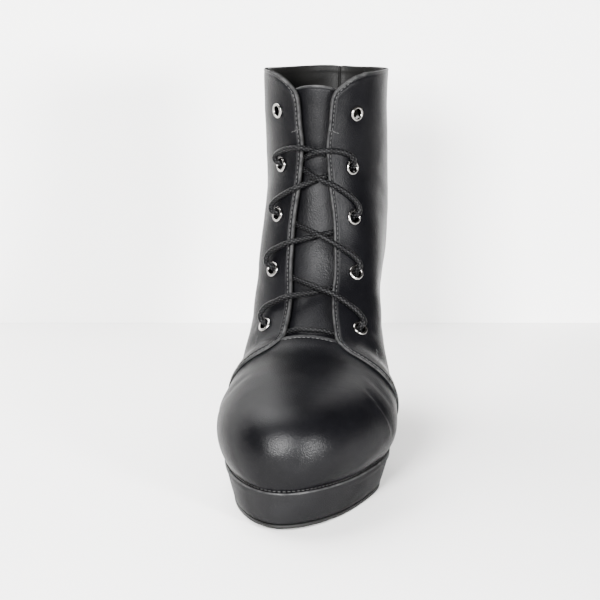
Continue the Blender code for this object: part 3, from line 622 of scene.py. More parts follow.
class NodeBench:
    """A material's node tree with short ways to add what the finishes share."""

    def __init__(self, name: str) -> None:
        """Start a material.

        Args:
            name: The material's name.
        """
        self.material = bpy.data.materials.new(name)
        self.material.use_nodes = True
        self.tree = self.material.node_tree
        self.shader = self.tree.nodes["Principled BSDF"]

    def add(self, kind: str, settings: dict[str, object] | None = None,
            **links: object) -> bpy.types.Node:
        """Add a node.

        Args:
            kind: The node's type name.
            settings: Attributes of the node.
            links: Inputs by name with _ for a blank, or by number as i0, i1 and so on. Each is a socket
                to link or a value to set.

        Returns:
            The node.
        """
        node = self.tree.nodes.new(kind)
        for key, value in (settings or {}).items():
            setattr(node, key, value)
        for key, value in links.items():
            numbered = key[0] == "i" and key[1:].isdigit()
            socket = node.inputs[int(key[1:]) if numbered else key.replace("_", " ")]
            if isinstance(value, Socket):
                self.tree.links.new(value, socket)
            else:
                socket.default_value = value
        return node

    def place(self) -> Socket:
        """Object coordinates, in metres."""
        return self.add("ShaderNodeTexCoord").outputs["Object"]

    def noise(self, where: Socket, scale: float, detail: float = 2.0) -> Socket:
        """Noise with so many spots to the metre."""
        return self.add("ShaderNodeTexNoise", None, Vector=where, Scale=scale, Detail=detail).outputs[0]

    def cells(self, where: Socket, scale: float) -> Socket:
        """Distance to the nearest of many cell middles."""
        return self.add("ShaderNodeTexVoronoi", None, Vector=where, Scale=scale).outputs["Distance"]

    def math(self, operation: str, a: object, b: object = 0.0) -> Socket:
        """A sum, product or other rule of two values."""
        return self.add("ShaderNodeMath", {"operation": operation}, i0=a, i1=b).outputs[0]

    def span(self, value: Socket, low: float, high: float, start: float = 0.3, end: float = 0.7) -> Socket:
        """The value spread from start..end onto low..high."""
        return self.add("ShaderNodeMapRange", None, i0=value, i1=start, i2=end, i3=low, i4=high).outputs[0]

    def blend(self, amount: Socket, dark: Sequence[float] | Socket, light: Sequence[float]) -> Socket:
        """A colour between two.

        Args:
            amount: 0 for the dark colour, 1 for the light one.
            dark: A colour or a socket that gives one.
            light: A colour.

        Returns:
            The mixed colour.
        """
        node = self.add("ShaderNodeMix", {"data_type": "RGBA"})
        self.tree.links.new(amount, node.inputs[0])
        for index, colour in ((6, dark), (7, light)):
            if isinstance(colour, Socket):
                self.tree.links.new(colour, node.inputs[index])
            else:
                node.inputs[index].default_value = (*colour, 1.0)
        return node.outputs[2]

    def bump(self, height: Socket, depth: float, strength: float, under: Socket | None = None) -> Socket:
        """A bumped normal.

        Args:
            height: Height of the relief.
            depth: How deep it is, in metres.
            strength: How much of it shows.
            under: An earlier normal that it goes over.

        Returns:
            The normal.
        """
        node = self.add("ShaderNodeBump", None, Height=height, Distance=depth, Strength=strength)
        if under is not None:
            self.tree.links.new(under, node.inputs["Normal"])
        return node.outputs[0]

    def finish(self, colour: Socket, rough: Socket, normal: Socket, metallic: float = 0.0) -> Material:
        """Link the shader.

        Args:
            colour: Base colour.
            rough: Roughness.
            normal: Normal.
            metallic: 1 for metal.

        Returns:
            The finished material.
        """
        self.tree.links.new(colour, self.shader.inputs["Base Color"])
        self.tree.links.new(rough, self.shader.inputs["Roughness"])
        self.tree.links.new(normal, self.shader.inputs["Normal"])
        self.shader.inputs["Metallic"].default_value = metallic
        return self.material


@dataclass(frozen=True)
class LeatherFinish:
    """Smooth faux leather: a fine grain under a soft sheen."""

    name: str
    dark: Triple = (0.0012, 0.0012, 0.0016)
    light: Triple = (0.0026, 0.0026, 0.0032)
    # Colour of the edges: partly scuffed leather, partly a painted highlight on rolled edges and ridges.
    worn_and_sheen: Triple = (0.040, 0.040, 0.040)
    rough: tuple[float, float] = (0.29, 0.38)
    grain: float = 0.55
    cell: float = 1600.0
    specular: tuple[float, float] = (0.115, 0.02)

    def make(self) -> Material:
        """Make the material.

        Returns:
            The material.
        """
        bench = NodeBench(self.name)
        where = bench.place()
        cloud = bench.noise(where, 45.0, 3.0)
        fine = bench.noise(where, 2000.0, 2.0)
        grain = bench.cells(where, self.cell)
        ground = bench.blend(bench.span(cloud, 0.0, 1.0), self.dark, self.light)
        # The wear attribute lightens the colour along edges: partly scuffing, partly a painted highlight
        # where rolled edges and ridges would catch the light.
        worn_and_sheen = bench.add("ShaderNodeAttribute", {"attribute_name": "wear"}).outputs["Fac"]
        worn_and_sheen = bench.math("MULTIPLY", worn_and_sheen, bench.span(bench.noise(where, 320.0, 3.0), 0.15, 1.0))
        colour = bench.blend(worn_and_sheen, ground, self.worn_and_sheen)
        mixed = bench.math("ADD", cloud, bench.math("MULTIPLY", fine, 0.5))
        rough = bench.span(mixed, *self.rough, 0.45, 1.0)
        normal = bench.bump(grain, 0.00016, self.grain)
        normal = bench.bump(fine, 0.00014, self.grain, normal)
        facing = bench.add("ShaderNodeLayerWeight").outputs["Facing"]
        gloss = bench.span(facing, *self.specular, 0.08, 0.6)
        bench.tree.links.new(gloss, bench.shader.inputs["Specular IOR Level"])
        return bench.finish(colour, rough, normal)


@dataclass(frozen=True)
class RubberFinish:
    """Moulded rubber, matt, with a slight unevenness."""

    name: str = "rubber_sole"
    dark: Triple = (0.0022, 0.0022, 0.0022)
    light: Triple = (0.0055, 0.0055, 0.0052)

    def make(self) -> Material:
        """Make the material.

        Returns:
            The material.
        """
        bench = NodeBench(self.name)
        where = bench.place()
        cloud = bench.noise(where, 140.0, 4.0)
        dust = bench.noise(where, 2400.0, 2.0)
        colour = bench.blend(bench.span(cloud, 0.0, 1.0), self.dark, self.light)
        bench.shader.inputs["Specular IOR Level"].default_value = 0.2
        return bench.finish(colour, bench.span(cloud, 0.52, 0.68), bench.bump(dust, 0.00006, 0.3))


@dataclass(frozen=True)
class NickelFinish:
    """Bright nickel plate with faint polishing marks."""

    name: str = "nickel_plate"
    dark: Triple = (0.17, 0.165, 0.16)
    light: Triple = (0.34, 0.33, 0.315)

    def make(self) -> Material:
        """Make the material.

        Returns:
            The material.
        """
        bench = NodeBench(self.name)
        where = bench.place()
        cloud = bench.noise(where, 700.0, 3.0)
        colour = bench.blend(bench.span(cloud, 0.0, 1.0), self.dark, self.light)
        marks = bench.noise(where, 5200.0, 1.0)
        return bench.finish(colour, bench.span(cloud, 0.14, 0.26), bench.bump(marks, 0.00002, 0.15), 1.0)


@dataclass(frozen=True)
class LaceFinish:
    """Waxed braid: yarns in two slants, with a painted highlight, a lighter colour, on the crown of each yarn
    where the wax would catch the light.
    """

    name: str = "waxed_braid"
    dark: Triple = (0.0010, 0.0010, 0.0012)
    light: Triple = (0.055, 0.055, 0.056)

    def make(self) -> Material:
        """Make the material.

        Returns:
            The material.
        """
        bench = NodeBench(self.name)
        where = bench.place()
        # The crown attribute paints highlights: a lighter colour on the crown of each yarn, standing in for
        # glints on the wax.
        crown = bench.add("ShaderNodeAttribute", {"attribute_name": "crown"}).outputs["Fac"]
        yarn = bench.noise(where, 2600.0, 2.0)
        mix = bench.math("MULTIPLY", crown, bench.span(yarn, 0.2, 1.0, 0.35, 0.65))
        colour = bench.blend(mix, self.dark, self.light)
        bench.shader.inputs["Specular IOR Level"].default_value = 0.05
        return bench.finish(colour, bench.span(yarn, 0.30, 0.50), bench.bump(yarn, 0.00016, 0.5))


@dataclass(frozen=True)
class ThreadFinish:
    """Sewing thread, a little lighter than the leather."""

    name: str = "sewing_thread"
    dark: Triple = (0.004, 0.004, 0.004)
    light: Triple = (0.024, 0.024, 0.024)

    def make(self) -> Material:
        """Make the material.

        Returns:
            The material.
        """
        bench = NodeBench(self.name)
        where = bench.place()
        twist = bench.noise(where, 2200.0, 2.0)
        colour = bench.blend(bench.span(twist, 0.0, 1.0), self.dark, self.light)
        return bench.finish(colour, bench.span(twist, 0.45, 0.65), bench.bump(twist, 0.00005, 0.3))


@dataclass(frozen=True)
class StudioFinish:
    """Pale matt paint of the floor and the wall."""

    name: str
    tone: Triple

    def make(self) -> Material:
        """Make the material.

        Returns:
            The material.
        """
        bench = NodeBench(self.name)
        where = bench.place()
        cloud = bench.noise(where, 6.0, 2.0)
        shade = tuple(0.985 * v for v in self.tone)
        colour = bench.blend(bench.span(cloud, 0.0, 1.0), shade, self.tone)
        return bench.finish(colour, bench.span(cloud, 0.62, 0.70), bench.bump(cloud, 0.0001, 0.02))


class Finishes:
    """All materials of the boot, made once."""

    def __init__(self) -> None:
        """Make the materials."""
        self.leather = LeatherFinish("faux_leather").make()
        self.quarter_leather = LeatherFinish("quarter_leather", specular=(0.075, 0.03)).make()
        self.cut_edge = LeatherFinish("cut_edge", dark=(0.010, 0.010, 0.010), light=(0.018, 0.018, 0.018),
                                      worn_and_sheen=(0.060, 0.060, 0.060), rough=(0.60, 0.75), grain=0.3,
                                      specular=(0.02, 0.0)).make()
        self.wrap = LeatherFinish("platform_leather", dark=(0.0024, 0.0024, 0.0028),
                                  light=(0.0044, 0.0044, 0.0050), rough=(0.38, 0.48),
                                  specular=(0.15, 0.02)).make()
        self.tongue = LeatherFinish("tongue_leather", rough=(0.34, 0.44), grain=0.65, cell=1400.0,
                                    specular=(0.10, 0.02)).make()
        self.lining = LeatherFinish("lining", dark=(0.0035, 0.0035, 0.0035), light=(0.0075, 0.0073, 0.007),
                                    rough=(0.42, 0.55), grain=0.4, cell=1300.0).make()
        self.rubber = RubberFinish().make()
        self.nickel = NickelFinish().make()
        # A darker copy of the nickel: painted shade inside the eyelets' bores.
        self.shaded_nickel = NickelFinish("nickel_bore_shade", (0.02, 0.02, 0.02), (0.05, 0.05, 0.05)).make()
        self.lace = LaceFinish().make()
        self.thread = ThreadFinish().make()


class Shell:
    """Points and faces of a piece that is put together from grids."""

    def __init__(self) -> None:
        """Start with nothing."""
        self.points: list[Array] = []
        self.faces: list[tuple[int, ...]] = []
        self.slots: list[int] = []
        self.wear: list[Array] = []
        self.count = 0

    def grid(self, points: Array, wear: Array | None = None) -> Array:
        """Add a grid's points.

        Args:
            points: Array of rows, columns and 3.
            wear: How much scuffing and painted edge highlight each point gets, from 0 to 1.

        Returns:
            The numbers of the points, by row and column.
        """
        rows, columns = points.shape[:2]
        self.points.append(points.reshape(-1, 3))
        self.wear.append(np.zeros(rows * columns) if wear is None else wear.reshape(-1))
        numbers = np.arange(rows * columns).reshape(rows, columns) + self.count
        self.count += rows * columns
        return numbers

    def skin(self, numbers: Array, slot: int = 0, inside: bool = False) -> None:
        """Add the faces of a grid.

        Args:
            numbers: Numbers of its points, by row and column.
            slot: Material slot of the faces.
            inside: Whether they face into the shoe.
        """
        a, b = numbers[:-1, :-1].ravel(), numbers[:-1, 1:].ravel()
        c, d = numbers[1:, 1:].ravel(), numbers[1:, :-1].ravel()
        rings = np.stack([d, c, b, a] if inside else [a, b, c, d], 1)
        self.faces += [tuple(int(i) for i in ring) for ring in rings]
        self.slots += [slot] * len(rings)

    def rim(self, outer: Array, inner: Array, slot: int = 0) -> None:
        """Join two lines of points.

        Args:
            outer: Numbers of the outer line, running as the edge of its skin runs back.
            inner: Numbers of the inner line.
            slot: Material slot of the faces.
        """
        for k in range(len(outer) - 1):
            self.faces.append((int(outer[k + 1]), int(outer[k]), int(inner[k]), int(inner[k + 1])))
            self.slots.append(slot)

    def wall(self, outer: Array, inner: Array, rims: str, closed_from: int | None = None,
             lined: int = 1, cut: int = 2) -> None:
        """Skins of an outer and an inner grid with rims along the named edges.

        Args:
            outer: Numbers of the outer grid.
            inner: Numbers of the inner grid.
            rims: Letters of the edges that get a rim: b first row, t last row, l first column, r last
                column, L and R those columns as far as the back seam is open.
            closed_from: Row from which the back seam is closed.
            lined: Slot of the inner skin.
            cut: Slot of the rims.
        """
        self.skin(outer)
        self.skin(inner, lined, True)
        stop = None if closed_from is None else closed_from + 1
        lines = {"b": (outer[0], inner[0]), "t": (outer[-1][::-1], inner[-1][::-1]),
                 "l": (outer[::-1, 0], inner[::-1, 0]), "r": (outer[:, -1], inner[:, -1]),
                 "L": (outer[:stop, 0][::-1], inner[:stop, 0][::-1]),
                 "R": (outer[:stop, -1], inner[:stop, -1])}
        for letter in rims:
            self.rim(*lines[letter], cut)

    def make(self, name: str, materials: Sequence[Material], merge: float = 1e-6) -> Item:
        """The piece as an object.

        Args:
            name: Name of the piece.
            materials: Its materials by slot number.
            merge: Distance within which points become one.

        Returns:
            The object.
        """
        item = piece(name, np.concatenate(self.points), self.faces, materials,
                     {"wear": np.concatenate(self.wear)})
        item.data.polygons.foreach_set("material_index", self.slots)
        with reworked(item.data) as work:
            bmesh.ops.remove_doubles(work, verts=work.verts, dist=merge)
        return item


def near(line: Array, points: Array) -> Array:
    """Distance of each point to a dense line of points.

    Args:
        line: The line's points.
        points: An array with a last axis of 3.

    Returns:
        The distances.
    """
    tree = KDTree(len(line))
    for i, p in enumerate(line):
        tree.insert(p, i)
    tree.balance()
    flat = points.reshape(-1, 3)
    return np.array([tree.find(p)[2] for p in flat]).reshape(points.shape[:-1])


def unevenness(points: Array, size: float) -> Array:
    """Soft noise from about -1 to 1 at points, with bumps of a size in metres."""
    flat = (points.reshape(-1, 3) / size).tolist()
    return np.array([noise.noise(p) for p in flat]).reshape(points.shape[:-1])


@dataclass(frozen=True)
class Crease:
    """A soft trough (negative) or ridge (positive) along a route of stations and shares."""

    route: tuple[tuple[float, float], ...]
    height: float
    width: float

    def relief(self, last: Last, points: Array) -> Array:
        """The crease's part of the relief.

        Args:
            last: The last.
            points: Points of the leather.

        Returns:
            Heights that it adds at the points, in metres.
        """
        count = len(self.route)
        route = at_runs(np.linspace(0, count - 1, 90), np.arange(count), np.array(self.route))
        away = near(last.lifted(route[:, 0], route[:, 1], 0.0), points)
        return self.height * MM * np.exp(-(away / (self.width * MM)) ** 2)


VAMP_CREASES = (
    Crease(((7.30, 0.45), (7.16, 0.53), (7.13, 0.60), (7.18, 0.68), (7.34, 0.77)), 0.50, 1.15),
    Crease(((7.48, 0.46), (7.35, 0.54), (7.33, 0.61), (7.38, 0.69), (7.54, 0.78)), -0.45, 1.6),
    Crease(((6.80, 0.50), (6.72, 0.57), (6.74, 0.66), (6.9, 0.76)), -0.25, 3.0),
    Crease(((8.3, 0.42), (8.1, 0.52), (8.1, 0.62)), -0.30, 3.0),
    Crease(((7.6, -0.40), (7.3, -0.52), (7.35, -0.66), (7.6, -0.78)), -0.35, 3.4),
    Crease(((8.6, -0.12), (8.45, 0.0), (8.5, 0.15), (8.7, 0.3)), -0.14, 4.5),
    Crease(((6.9, -0.3), (6.7, -0.1), (6.75, 0.15)), -0.18, 5.0),
)
QUARTER_CREASES = (
    Crease(((11.4, 0.50), (12.0, 0.62), (12.9, 0.74)), -0.45, 3.0),
    Crease(((12.6, 0.47), (13.2, 0.60), (14.1, 0.70)), -0.35, 3.2),
    Crease(((11.4, -0.48), (12.1, -0.60), (13.0, -0.72)), -0.45, 3.0),
    Crease(((12.8, -0.46), (13.4, -0.58), (14.3, -0.68)), -0.35, 3.2),
    Crease(((15.6, 0.40), (16.0, 0.55), (16.9, 0.68)), -0.20, 4.5),
    Crease(((15.8, -0.38), (16.3, -0.54), (17.2, -0.66)), -0.20, 4.5),
    Crease(((18.6, 0.38), (19.0, 0.55)), -0.25, 4.0),
    Crease(((9.6, 0.66), (10.3, 0.78), (11.4, 0.88)), -0.30, 3.4),
    Crease(((9.7, -0.64), (10.4, -0.76), (11.4, -0.86)), -0.30, 3.4),
)


@dataclass
class Upper:
    """The upper: the vamp, and the quarters that lap over it, with lining and relief at the edges."""

    FACING_POINTS = 1300

    last: Last
    finishes: Finishes
    lap: float = 0.0036
    throat_station: float = 10.12
    throat_bow: float = 3.0
    tuck: float = 0.0008
    tuck_width: float = 0.0018
    seam_depth: float = 0.0003
    edge_steps: tuple[float, ...] = (0, .15, .35, .6, .9, 1.2, 1.5, 1.75, 2.0, 2.25, 2.5, 2.8, 3.2, 3.8, 4.6,
                                     5.6)
    end_steps: tuple[float, ...] = (5.0, 3.6, 2.6, 1.9, 1.3, 0.9, 0.6, 0.3, 0.0)
    columns: int = 40
    low_rows: int = 84
    high_rows: int = 36
    vamp_rows: int = 74
    vamp_columns: int = 62
    calm_width: float = 0.006
    groove_width: float = 0.0007
    dimple: float = 0.00022
    dimple_width: float = 0.0024
    hole_room: float = 0.0006
    high_station: float = 20.5
    toe_stations: tuple[float, ...] = (0, .02, .06, .12, .2, .3, .42, .56, .72, .9)
    vamp_ends: tuple[float, ...] = (0.95, 0.965, 0.978, 0.987, 0.994, 1.0)
    vamp_tuck: float = 0.0006
    press: float = 0.00025
    press_width: float = 0.0012

    def edge_line(self, side: int) -> Array:
        """Facing and lower edge of one quarter.

        Args:
            side: 1 for the inner, -1 for the outer.

        Returns:
            A dense line of points, the facing first.
        """
        s = self.last.sizes
        station = np.linspace(s.seam_station, self.last.top, self.FACING_POINTS)
        front = self.last.lifted(station, side * self.last.facing(station), s.quarter_step)
        share = np.linspace(self.last.facing(s.seam_station), 1.0, 900)
        low = self.last.lifted(self.last.derby(share), side * share, s.quarter_step)
        return np.concatenate([front, low])

    def collar_line(self, side: int) -> Array:
        """Top edge of one quarter as a dense line."""
        share = np.linspace(self.last.facing(self.last.top), 1.0, 900)
        return self.last.lifted(self.last.top, side * share, self.last.sizes.quarter_step)

    def _shares(self, station: Array, side: int) -> Array:
        """Shares of the columns: fine near the facing and near the end.

        Args:
            station: Stations.
            side: 1 for the inner, -1 for the outer.

        Returns:
            The shares, by column and station.
        """
        length = self.last.length(station, side)
        edge = self.last.facing(station)
        first = [edge + d * MM / length for d in self.edge_steps]
        ends = [1 - d * MM / length for d in self.end_steps]
        count = self.columns + 1
        inside = [first[-1] + (ends[0] - first[-1]) * k / count for k in range(1, count)]
        return np.array(first + inside + ends)

    def _places(self, side: int) -> tuple[Array, Array, int]:
        """Lay out one quarter's grid.

        Args:
            side: 1 for the inner, -1 for the outer.

        Returns:
            Its stations, its shares and the row where the back seam closes.
        """
        s, last = self.last.sizes, self.last
        count = len(self.edge_steps) + self.columns + len(self.end_steps)
        low = np.full(count, s.seam_station)
        for _ in range(8):
            share = np.array([self._shares(low[k:k + 1], side)[k, 0] for k in range(count)])
            low = last.derby(share)
        share_top = self._shares(np.array([float(last.top)]), side)[:, 0]
        steps = np.array(self.edge_steps) * MM
        first = low + steps[:, None] / last.pace(low, side * share)
        top = last.top - steps[::-1, None] / last.pace(np.full(count, float(last.top)), side * share_top)
        up = np.linspace(0, 1, self.low_rows + 1)[1:, None]
        middle = first[-1] + (s.back_station - first[-1]) * up
        down = np.linspace(0, 1, self.high_rows + 1)[1:-1, None]
        high = s.back_station + (top[0] - s.back_station) * down
        station = np.concatenate([first, middle, high, top])
        shares = np.array([[self._shares(station[r, k:k + 1], side)[k, 0] for k in range(count)]
                           for r in range(len(station))])
        return station, shares, len(first) + self.low_rows - 1

    def _quarter(self, side: int, shell: Shell) -> tuple[Array, Array, int]:
        """Add one quarter's outer and inner points.

        Args:
            side: 1 for the inner, -1 for the outer.
            shell: The shell that they go into.

        Returns:
            The numbers of both grids, and the row where the back seam closes.
        """
        s, last = self.last.sizes, self.last
        station, share, seam_row = self._places(side)
        base = last.lifted(station, side * share, s.quarter_step)
        edge = near(self.edge_line(side), base)
        collar = near(self.collar_line(side), base)
        rim = np.minimum(edge, collar)
        front = smoothstep(collar / (edge + collar + 1e-9))
        height = front * profile(EDGE_RELIEF, rim) + (1 - front) * profile(COLLAR_RELIEF, rim)
        height = self._dressed(height, base, rim, side)
        end = (1 - share) * last.length(station, side)
        open_end = station < s.back_station + 1e-6
        height = height - np.where(open_end, self.tuck * (1 - smoothstep(end / self.tuck_width)), 0.0)
        groove = self.seam_depth * np.exp(-(end / self.groove_width) ** 2)
        height = height - np.where(open_end, 0.0, groove)
        outer = last.lifted(station, side * share, s.quarter_step + height)
        inner = last.lifted(station, side * share, self._lining(end, open_end, collar))
        wave = self._wave(station, share, end, side)
        outer[..., 2] += wave
        inner[..., 2] += wave
        # Lighter colour along the facing, lower edge and collar: partly scuffing, partly a painted highlight
        # on the rolled edge and the ridge beside the stitched groove.
        wear = np.interp(rim / MM, *zip(*WEAR_AND_SHEEN)) * (0.45 + 0.55 * front)
        if side < 0:
            outer, inner, wear = outer[:, ::-1], inner[:, ::-1], wear[:, ::-1]
        return shell.grid(outer, wear), shell.grid(inner), seam_row

    def _dressed(self, height: Array, base: Array, rim: Array, side: int) -> Array:
        """Add creases, a faint unevenness and the eyelets' dimples to a quarter's relief.

        Args:
            height: The relief so far, in metres.
            base: Points of the quarter's plain face.
            rim: Distance of the points from the nearest edge.
            side: 1 for the inner, -1 for the outer.

        Returns:
            The relief.
        """
        s, last = self.last.sizes, self.last
        calm = smoothstep(rim / self.calm_width)
        for crease in QUARTER_CREASES:
            if crease.route[0][1] * side > 0:
                height = height + crease.relief(last, base) * calm
        height = height + 0.32 * MM * unevenness(base, 0.021) * calm
        height = height + 0.10 * MM * unevenness(base, 0.008) * calm
        flange = s.eyelet_flange / 2
        for eyelet in EYELETS:
            centre = last.lifted(eyelet[0], side * eyelet[1], s.quarter_step)
            away = np.linalg.norm(base - centre, axis=-1)
            pressed = self.dimple * (1 - smoothstep((away - flange * 0.95) / self.dimple_width))
            height = height * smoothstep((away - flange) / (2.5 * MM)) - pressed
        return height

    def _lining(self, end: Array, open_end: Array, collar: Array) -> Array:
        """Heights of a quarter's inner face, with the collar's binding, the back seam and the lap.

        Args:
            end: Distance of the points from the quarter's end.
            open_end: Which points lie below the back seam.
            collar: Distance of the points from the collar.

        Returns:
            The heights over the last, in metres.
        """
        wall = self.last.sizes.wall
        fold = np.exp(-((end - 1.3 * MM) / (0.8 * MM)) ** 2) - np.exp(-(end / (0.35 * MM)) ** 2)
        height = -wall - profile(BINDING, collar) - np.where(open_end, 0.0, 0.28 * MM * fold)
        for row, step in enumerate(self.edge_steps):
            if step < 3.9:
                height[row] = 0.03 * MM
            else:
                height[row] = -0.6 * wall if step < 5.0 else -wall
        return height

    def _wave(self, station: Array, share: Array, end: Array, side: int) -> Array:
        """How far the collar's uneven edge lifts points near it.

        Args:
            station: Stations.
            share: Shares without a sign.
            end: Distance of the points from the quarter's end.
            side: 1 for the inner, -1 for the outer.

        Returns:
            The lifts, in metres.
        """
        wave = 0.5 * np.sin(9.0 * share + 1.7 * side)
        wave = wave * smoothstep((share - 0.3) / 0.2) * smoothstep((1 - share) / 0.1)
        wave = wave - 0.3 * np.exp(-(end / (1.6 * MM)) ** 2)
        if side > 0:
            wave = wave + 1.3 * np.exp(-((share - 0.46) / 0.14) ** 2)
        return smoothstep((station - self.high_station) / 2.5) * wave * MM

    def _holes(self, item: Item) -> None:
        """Cut the eyelets' holes.

        Args:
            item: The quarters.
        """
        s = self.last.sizes
        bpy.ops.object.select_all(action="DESELECT")
        cutters = []
        for side in (-1, 1):
            for eyelet in EYELETS:
                bpy.ops.mesh.primitive_cylinder_add(vertices=32, depth=0.012,
                                                    radius=s.eyelet_hole / 2 + self.hole_room)
                cutter = bpy.context.object
                cutter.data.transform(eyelet_frame(self.last, eyelet, side))
                cutters.append(cutter)
        for cutter in cutters:
            cutter.select_set(True)
        bpy.context.view_layer.objects.active = cutters[0]
        bpy.ops.object.join()
        cutter = bpy.context.object
        bpy.ops.object.select_all(action="DESELECT")
        bpy.context.view_layer.objects.active = item
        item.select_set(True)
        modifier = item.modifiers.new("Eyelet holes", "BOOLEAN")
        modifier.operation = "DIFFERENCE"
        modifier.solver = "EXACT"
        modifier.object = cutter
        bpy.ops.object.modifier_apply(modifier=modifier.name)
        bpy.data.objects.remove(cutter, do_unlink=True)

    def quarters(self) -> Item:
        """Make both quarters, joined at the back seam.

        Returns:
            The piece.
        """
        shell = Shell()
        for side, rims in ((-1, "btrL"), (1, "btlR")):
            outer, inner, seam_row = self._quarter(side, shell)
            shell.wall(outer, inner, rims, seam_row)
        finishes = self.finishes
        item = shell.make("quarters", (finishes.quarter_leather, finishes.lining, finishes.cut_edge), 4e-6)
        self._holes(item)
        return item

    def vamp_end(self, share: Array) -> Array:
        """Where the vamp ends: at the throat's edge, and further out with a lap under the quarters.

        Args:
            share: Signed shares.

        Returns:
            The stations.
        """
        last = self.last
        wide = np.abs(share)
        corner = float(last.facing(last.sizes.seam_station))
        under = last.derby(wide)
        under = under + self.lap * smoothstep((wide - corner + 0.005) / 0.05) / last.pace(under, share)
        throat = self.throat_station - self.throat_bow * wide ** 2
        return throat + (under - throat) * smoothstep((wide - corner - 0.004) / 0.05)

    def _vamp_places(self) -> tuple[Array, Array]:
        """Lay out the vamp's grid, fine at the toe, the throat's edge and the feather line.

        Returns:
            Its stations and its signed shares.
        """
        half = np.concatenate([np.linspace(0, 0.93, self.vamp_columns), self.vamp_ends])
        share = np.concatenate([-half[:0:-1], half])[None, :]
        end = self.vamp_end(share)
        start = np.array(self.toe_stations)[:, None]
        down = np.linspace(0, 1, self.vamp_rows + 1)[1:, None]
        throat = np.array(self.edge_steps)[::-1, None] * MM / self.last.pace(end, share)
        body = start[-1] + (end - throat[0] - start[-1]) * down
        toe = np.broadcast_to(start, (len(start), share.shape[1]))
        station = np.concatenate([toe, body, end - throat[1:]])
        return station, np.broadcast_to(share, station.shape)

    def vamp(self) -> Item:
        """Make the vamp, whose back part runs on under the quarters.

        Returns:
            The piece.
        """
        s, last = self.last.sizes, self.last
        corner = float(last.facing(s.seam_station))
        station, share = self._vamp_places()
        base = last.lifted(station, share, 0.0)
        sides = {side: self.edge_line(side)[self.FACING_POINTS:] for side in (-1, 1)}
        lapped = np.minimum(near(sides[-1], base), near(sides[1], base))
        across = np.linspace(-corner, corner, 400)
        throat_line = last.lifted(self.vamp_end(across), across, 0.0)
        edge = near(throat_line, base)
        inside = smoothstep((corner + 0.01 - np.abs(share)) / 0.03)
        height = profile(THROAT_RELIEF, edge) * inside
        calm = smoothstep(station / 2.0) * smoothstep(edge / (5 * MM))
        for crease in VAMP_CREASES:
            height = height + crease.relief(last, base) * calm
        height = height + calm * (0.20 * MM * unevenness(base, 0.024) + 0.06 * MM * unevenness(base, 0.009))
        height = height - self.press * np.exp(-(lapped / self.press_width) ** 2) * (1 - inside)
        rim = (1 - np.abs(share)) * last.length(station, 1)
        height = height - self.vamp_tuck * (1 - smoothstep(rim / self.tuck_width)) * smoothstep(station)
        over = station > last.derby(np.abs(share)) + 1e-6
        height = np.where(over & (np.abs(share) > corner), np.minimum(height, -0.02 * MM), height)
        outer = last.lifted(station, share, height)
        normal = last.normal(station, share)
        ahead = smoothstep(station / 1.4)[..., None]
        normal = unit(normal * ahead + np.array([0.0, -1.0, 0.0]) * (1 - ahead))
        inner = last.lifted(station, share, 0.0) - normal * s.wall
        low = np.abs(share) > 0.9999
        bed = last.footbed(inner[..., 1])
        inner[..., 2] = np.where(low, bed, np.maximum(inner[..., 2], bed))
        # Lighter colour along the throat's edge: partly scuffing, partly a painted highlight on its rolled
        # edge.
        wear = np.interp(edge / MM, (0.2, 0.6, 1.4, 2.2), (0.25, 0.5, 0.4, 0.0)) * inside
        finishes = self.finishes
        shell = Shell()
        shell.wall(shell.grid(outer, wear), shell.grid(inner), "tlr")
        return shell.make("vamp", (finishes.leather, finishes.lining, finishes.cut_edge), 4e-6)


def eyelet_frame(last: Last, eyelet: tuple[float, float], side: int) -> Matrix:
    """Place and turn of an eyelet on the quarter's face.

    Args:
        last: The last.
        eyelet: Its station and share.
        side: 1 for the inner, -1 for the outer.

    Returns:
        The matrix that puts it there.
    """
    share = side * eyelet[1]
    point = last.lifted(eyelet[0], share, last.sizes.quarter_step)
    normal = Vector(last.normal(np.array(eyelet[0]), np.array(share)))
    return Matrix.Translation(Vector(point)) @ normal.to_track_quat("Z", "Y").to_matrix().to_4x4()


# Rolled top edge of the tongue: distance from it and height, both in mm
TONGUE_EDGE = ((0.0, -0.5), (0.25, -0.1), (0.6, 0.12), (1.1, 0.16), (1.6, 0.05), (2.0, -0.16), (2.4, -0.04),
               (3.0, 0.02), (4.0, 0.0))

# Where the lace presses the tongue: station and depth in mm
LACE_PRESSURE = ((12.15, 0.35), (14.05, 0.4), (16.15, 0.4), (17.35, 0.35))


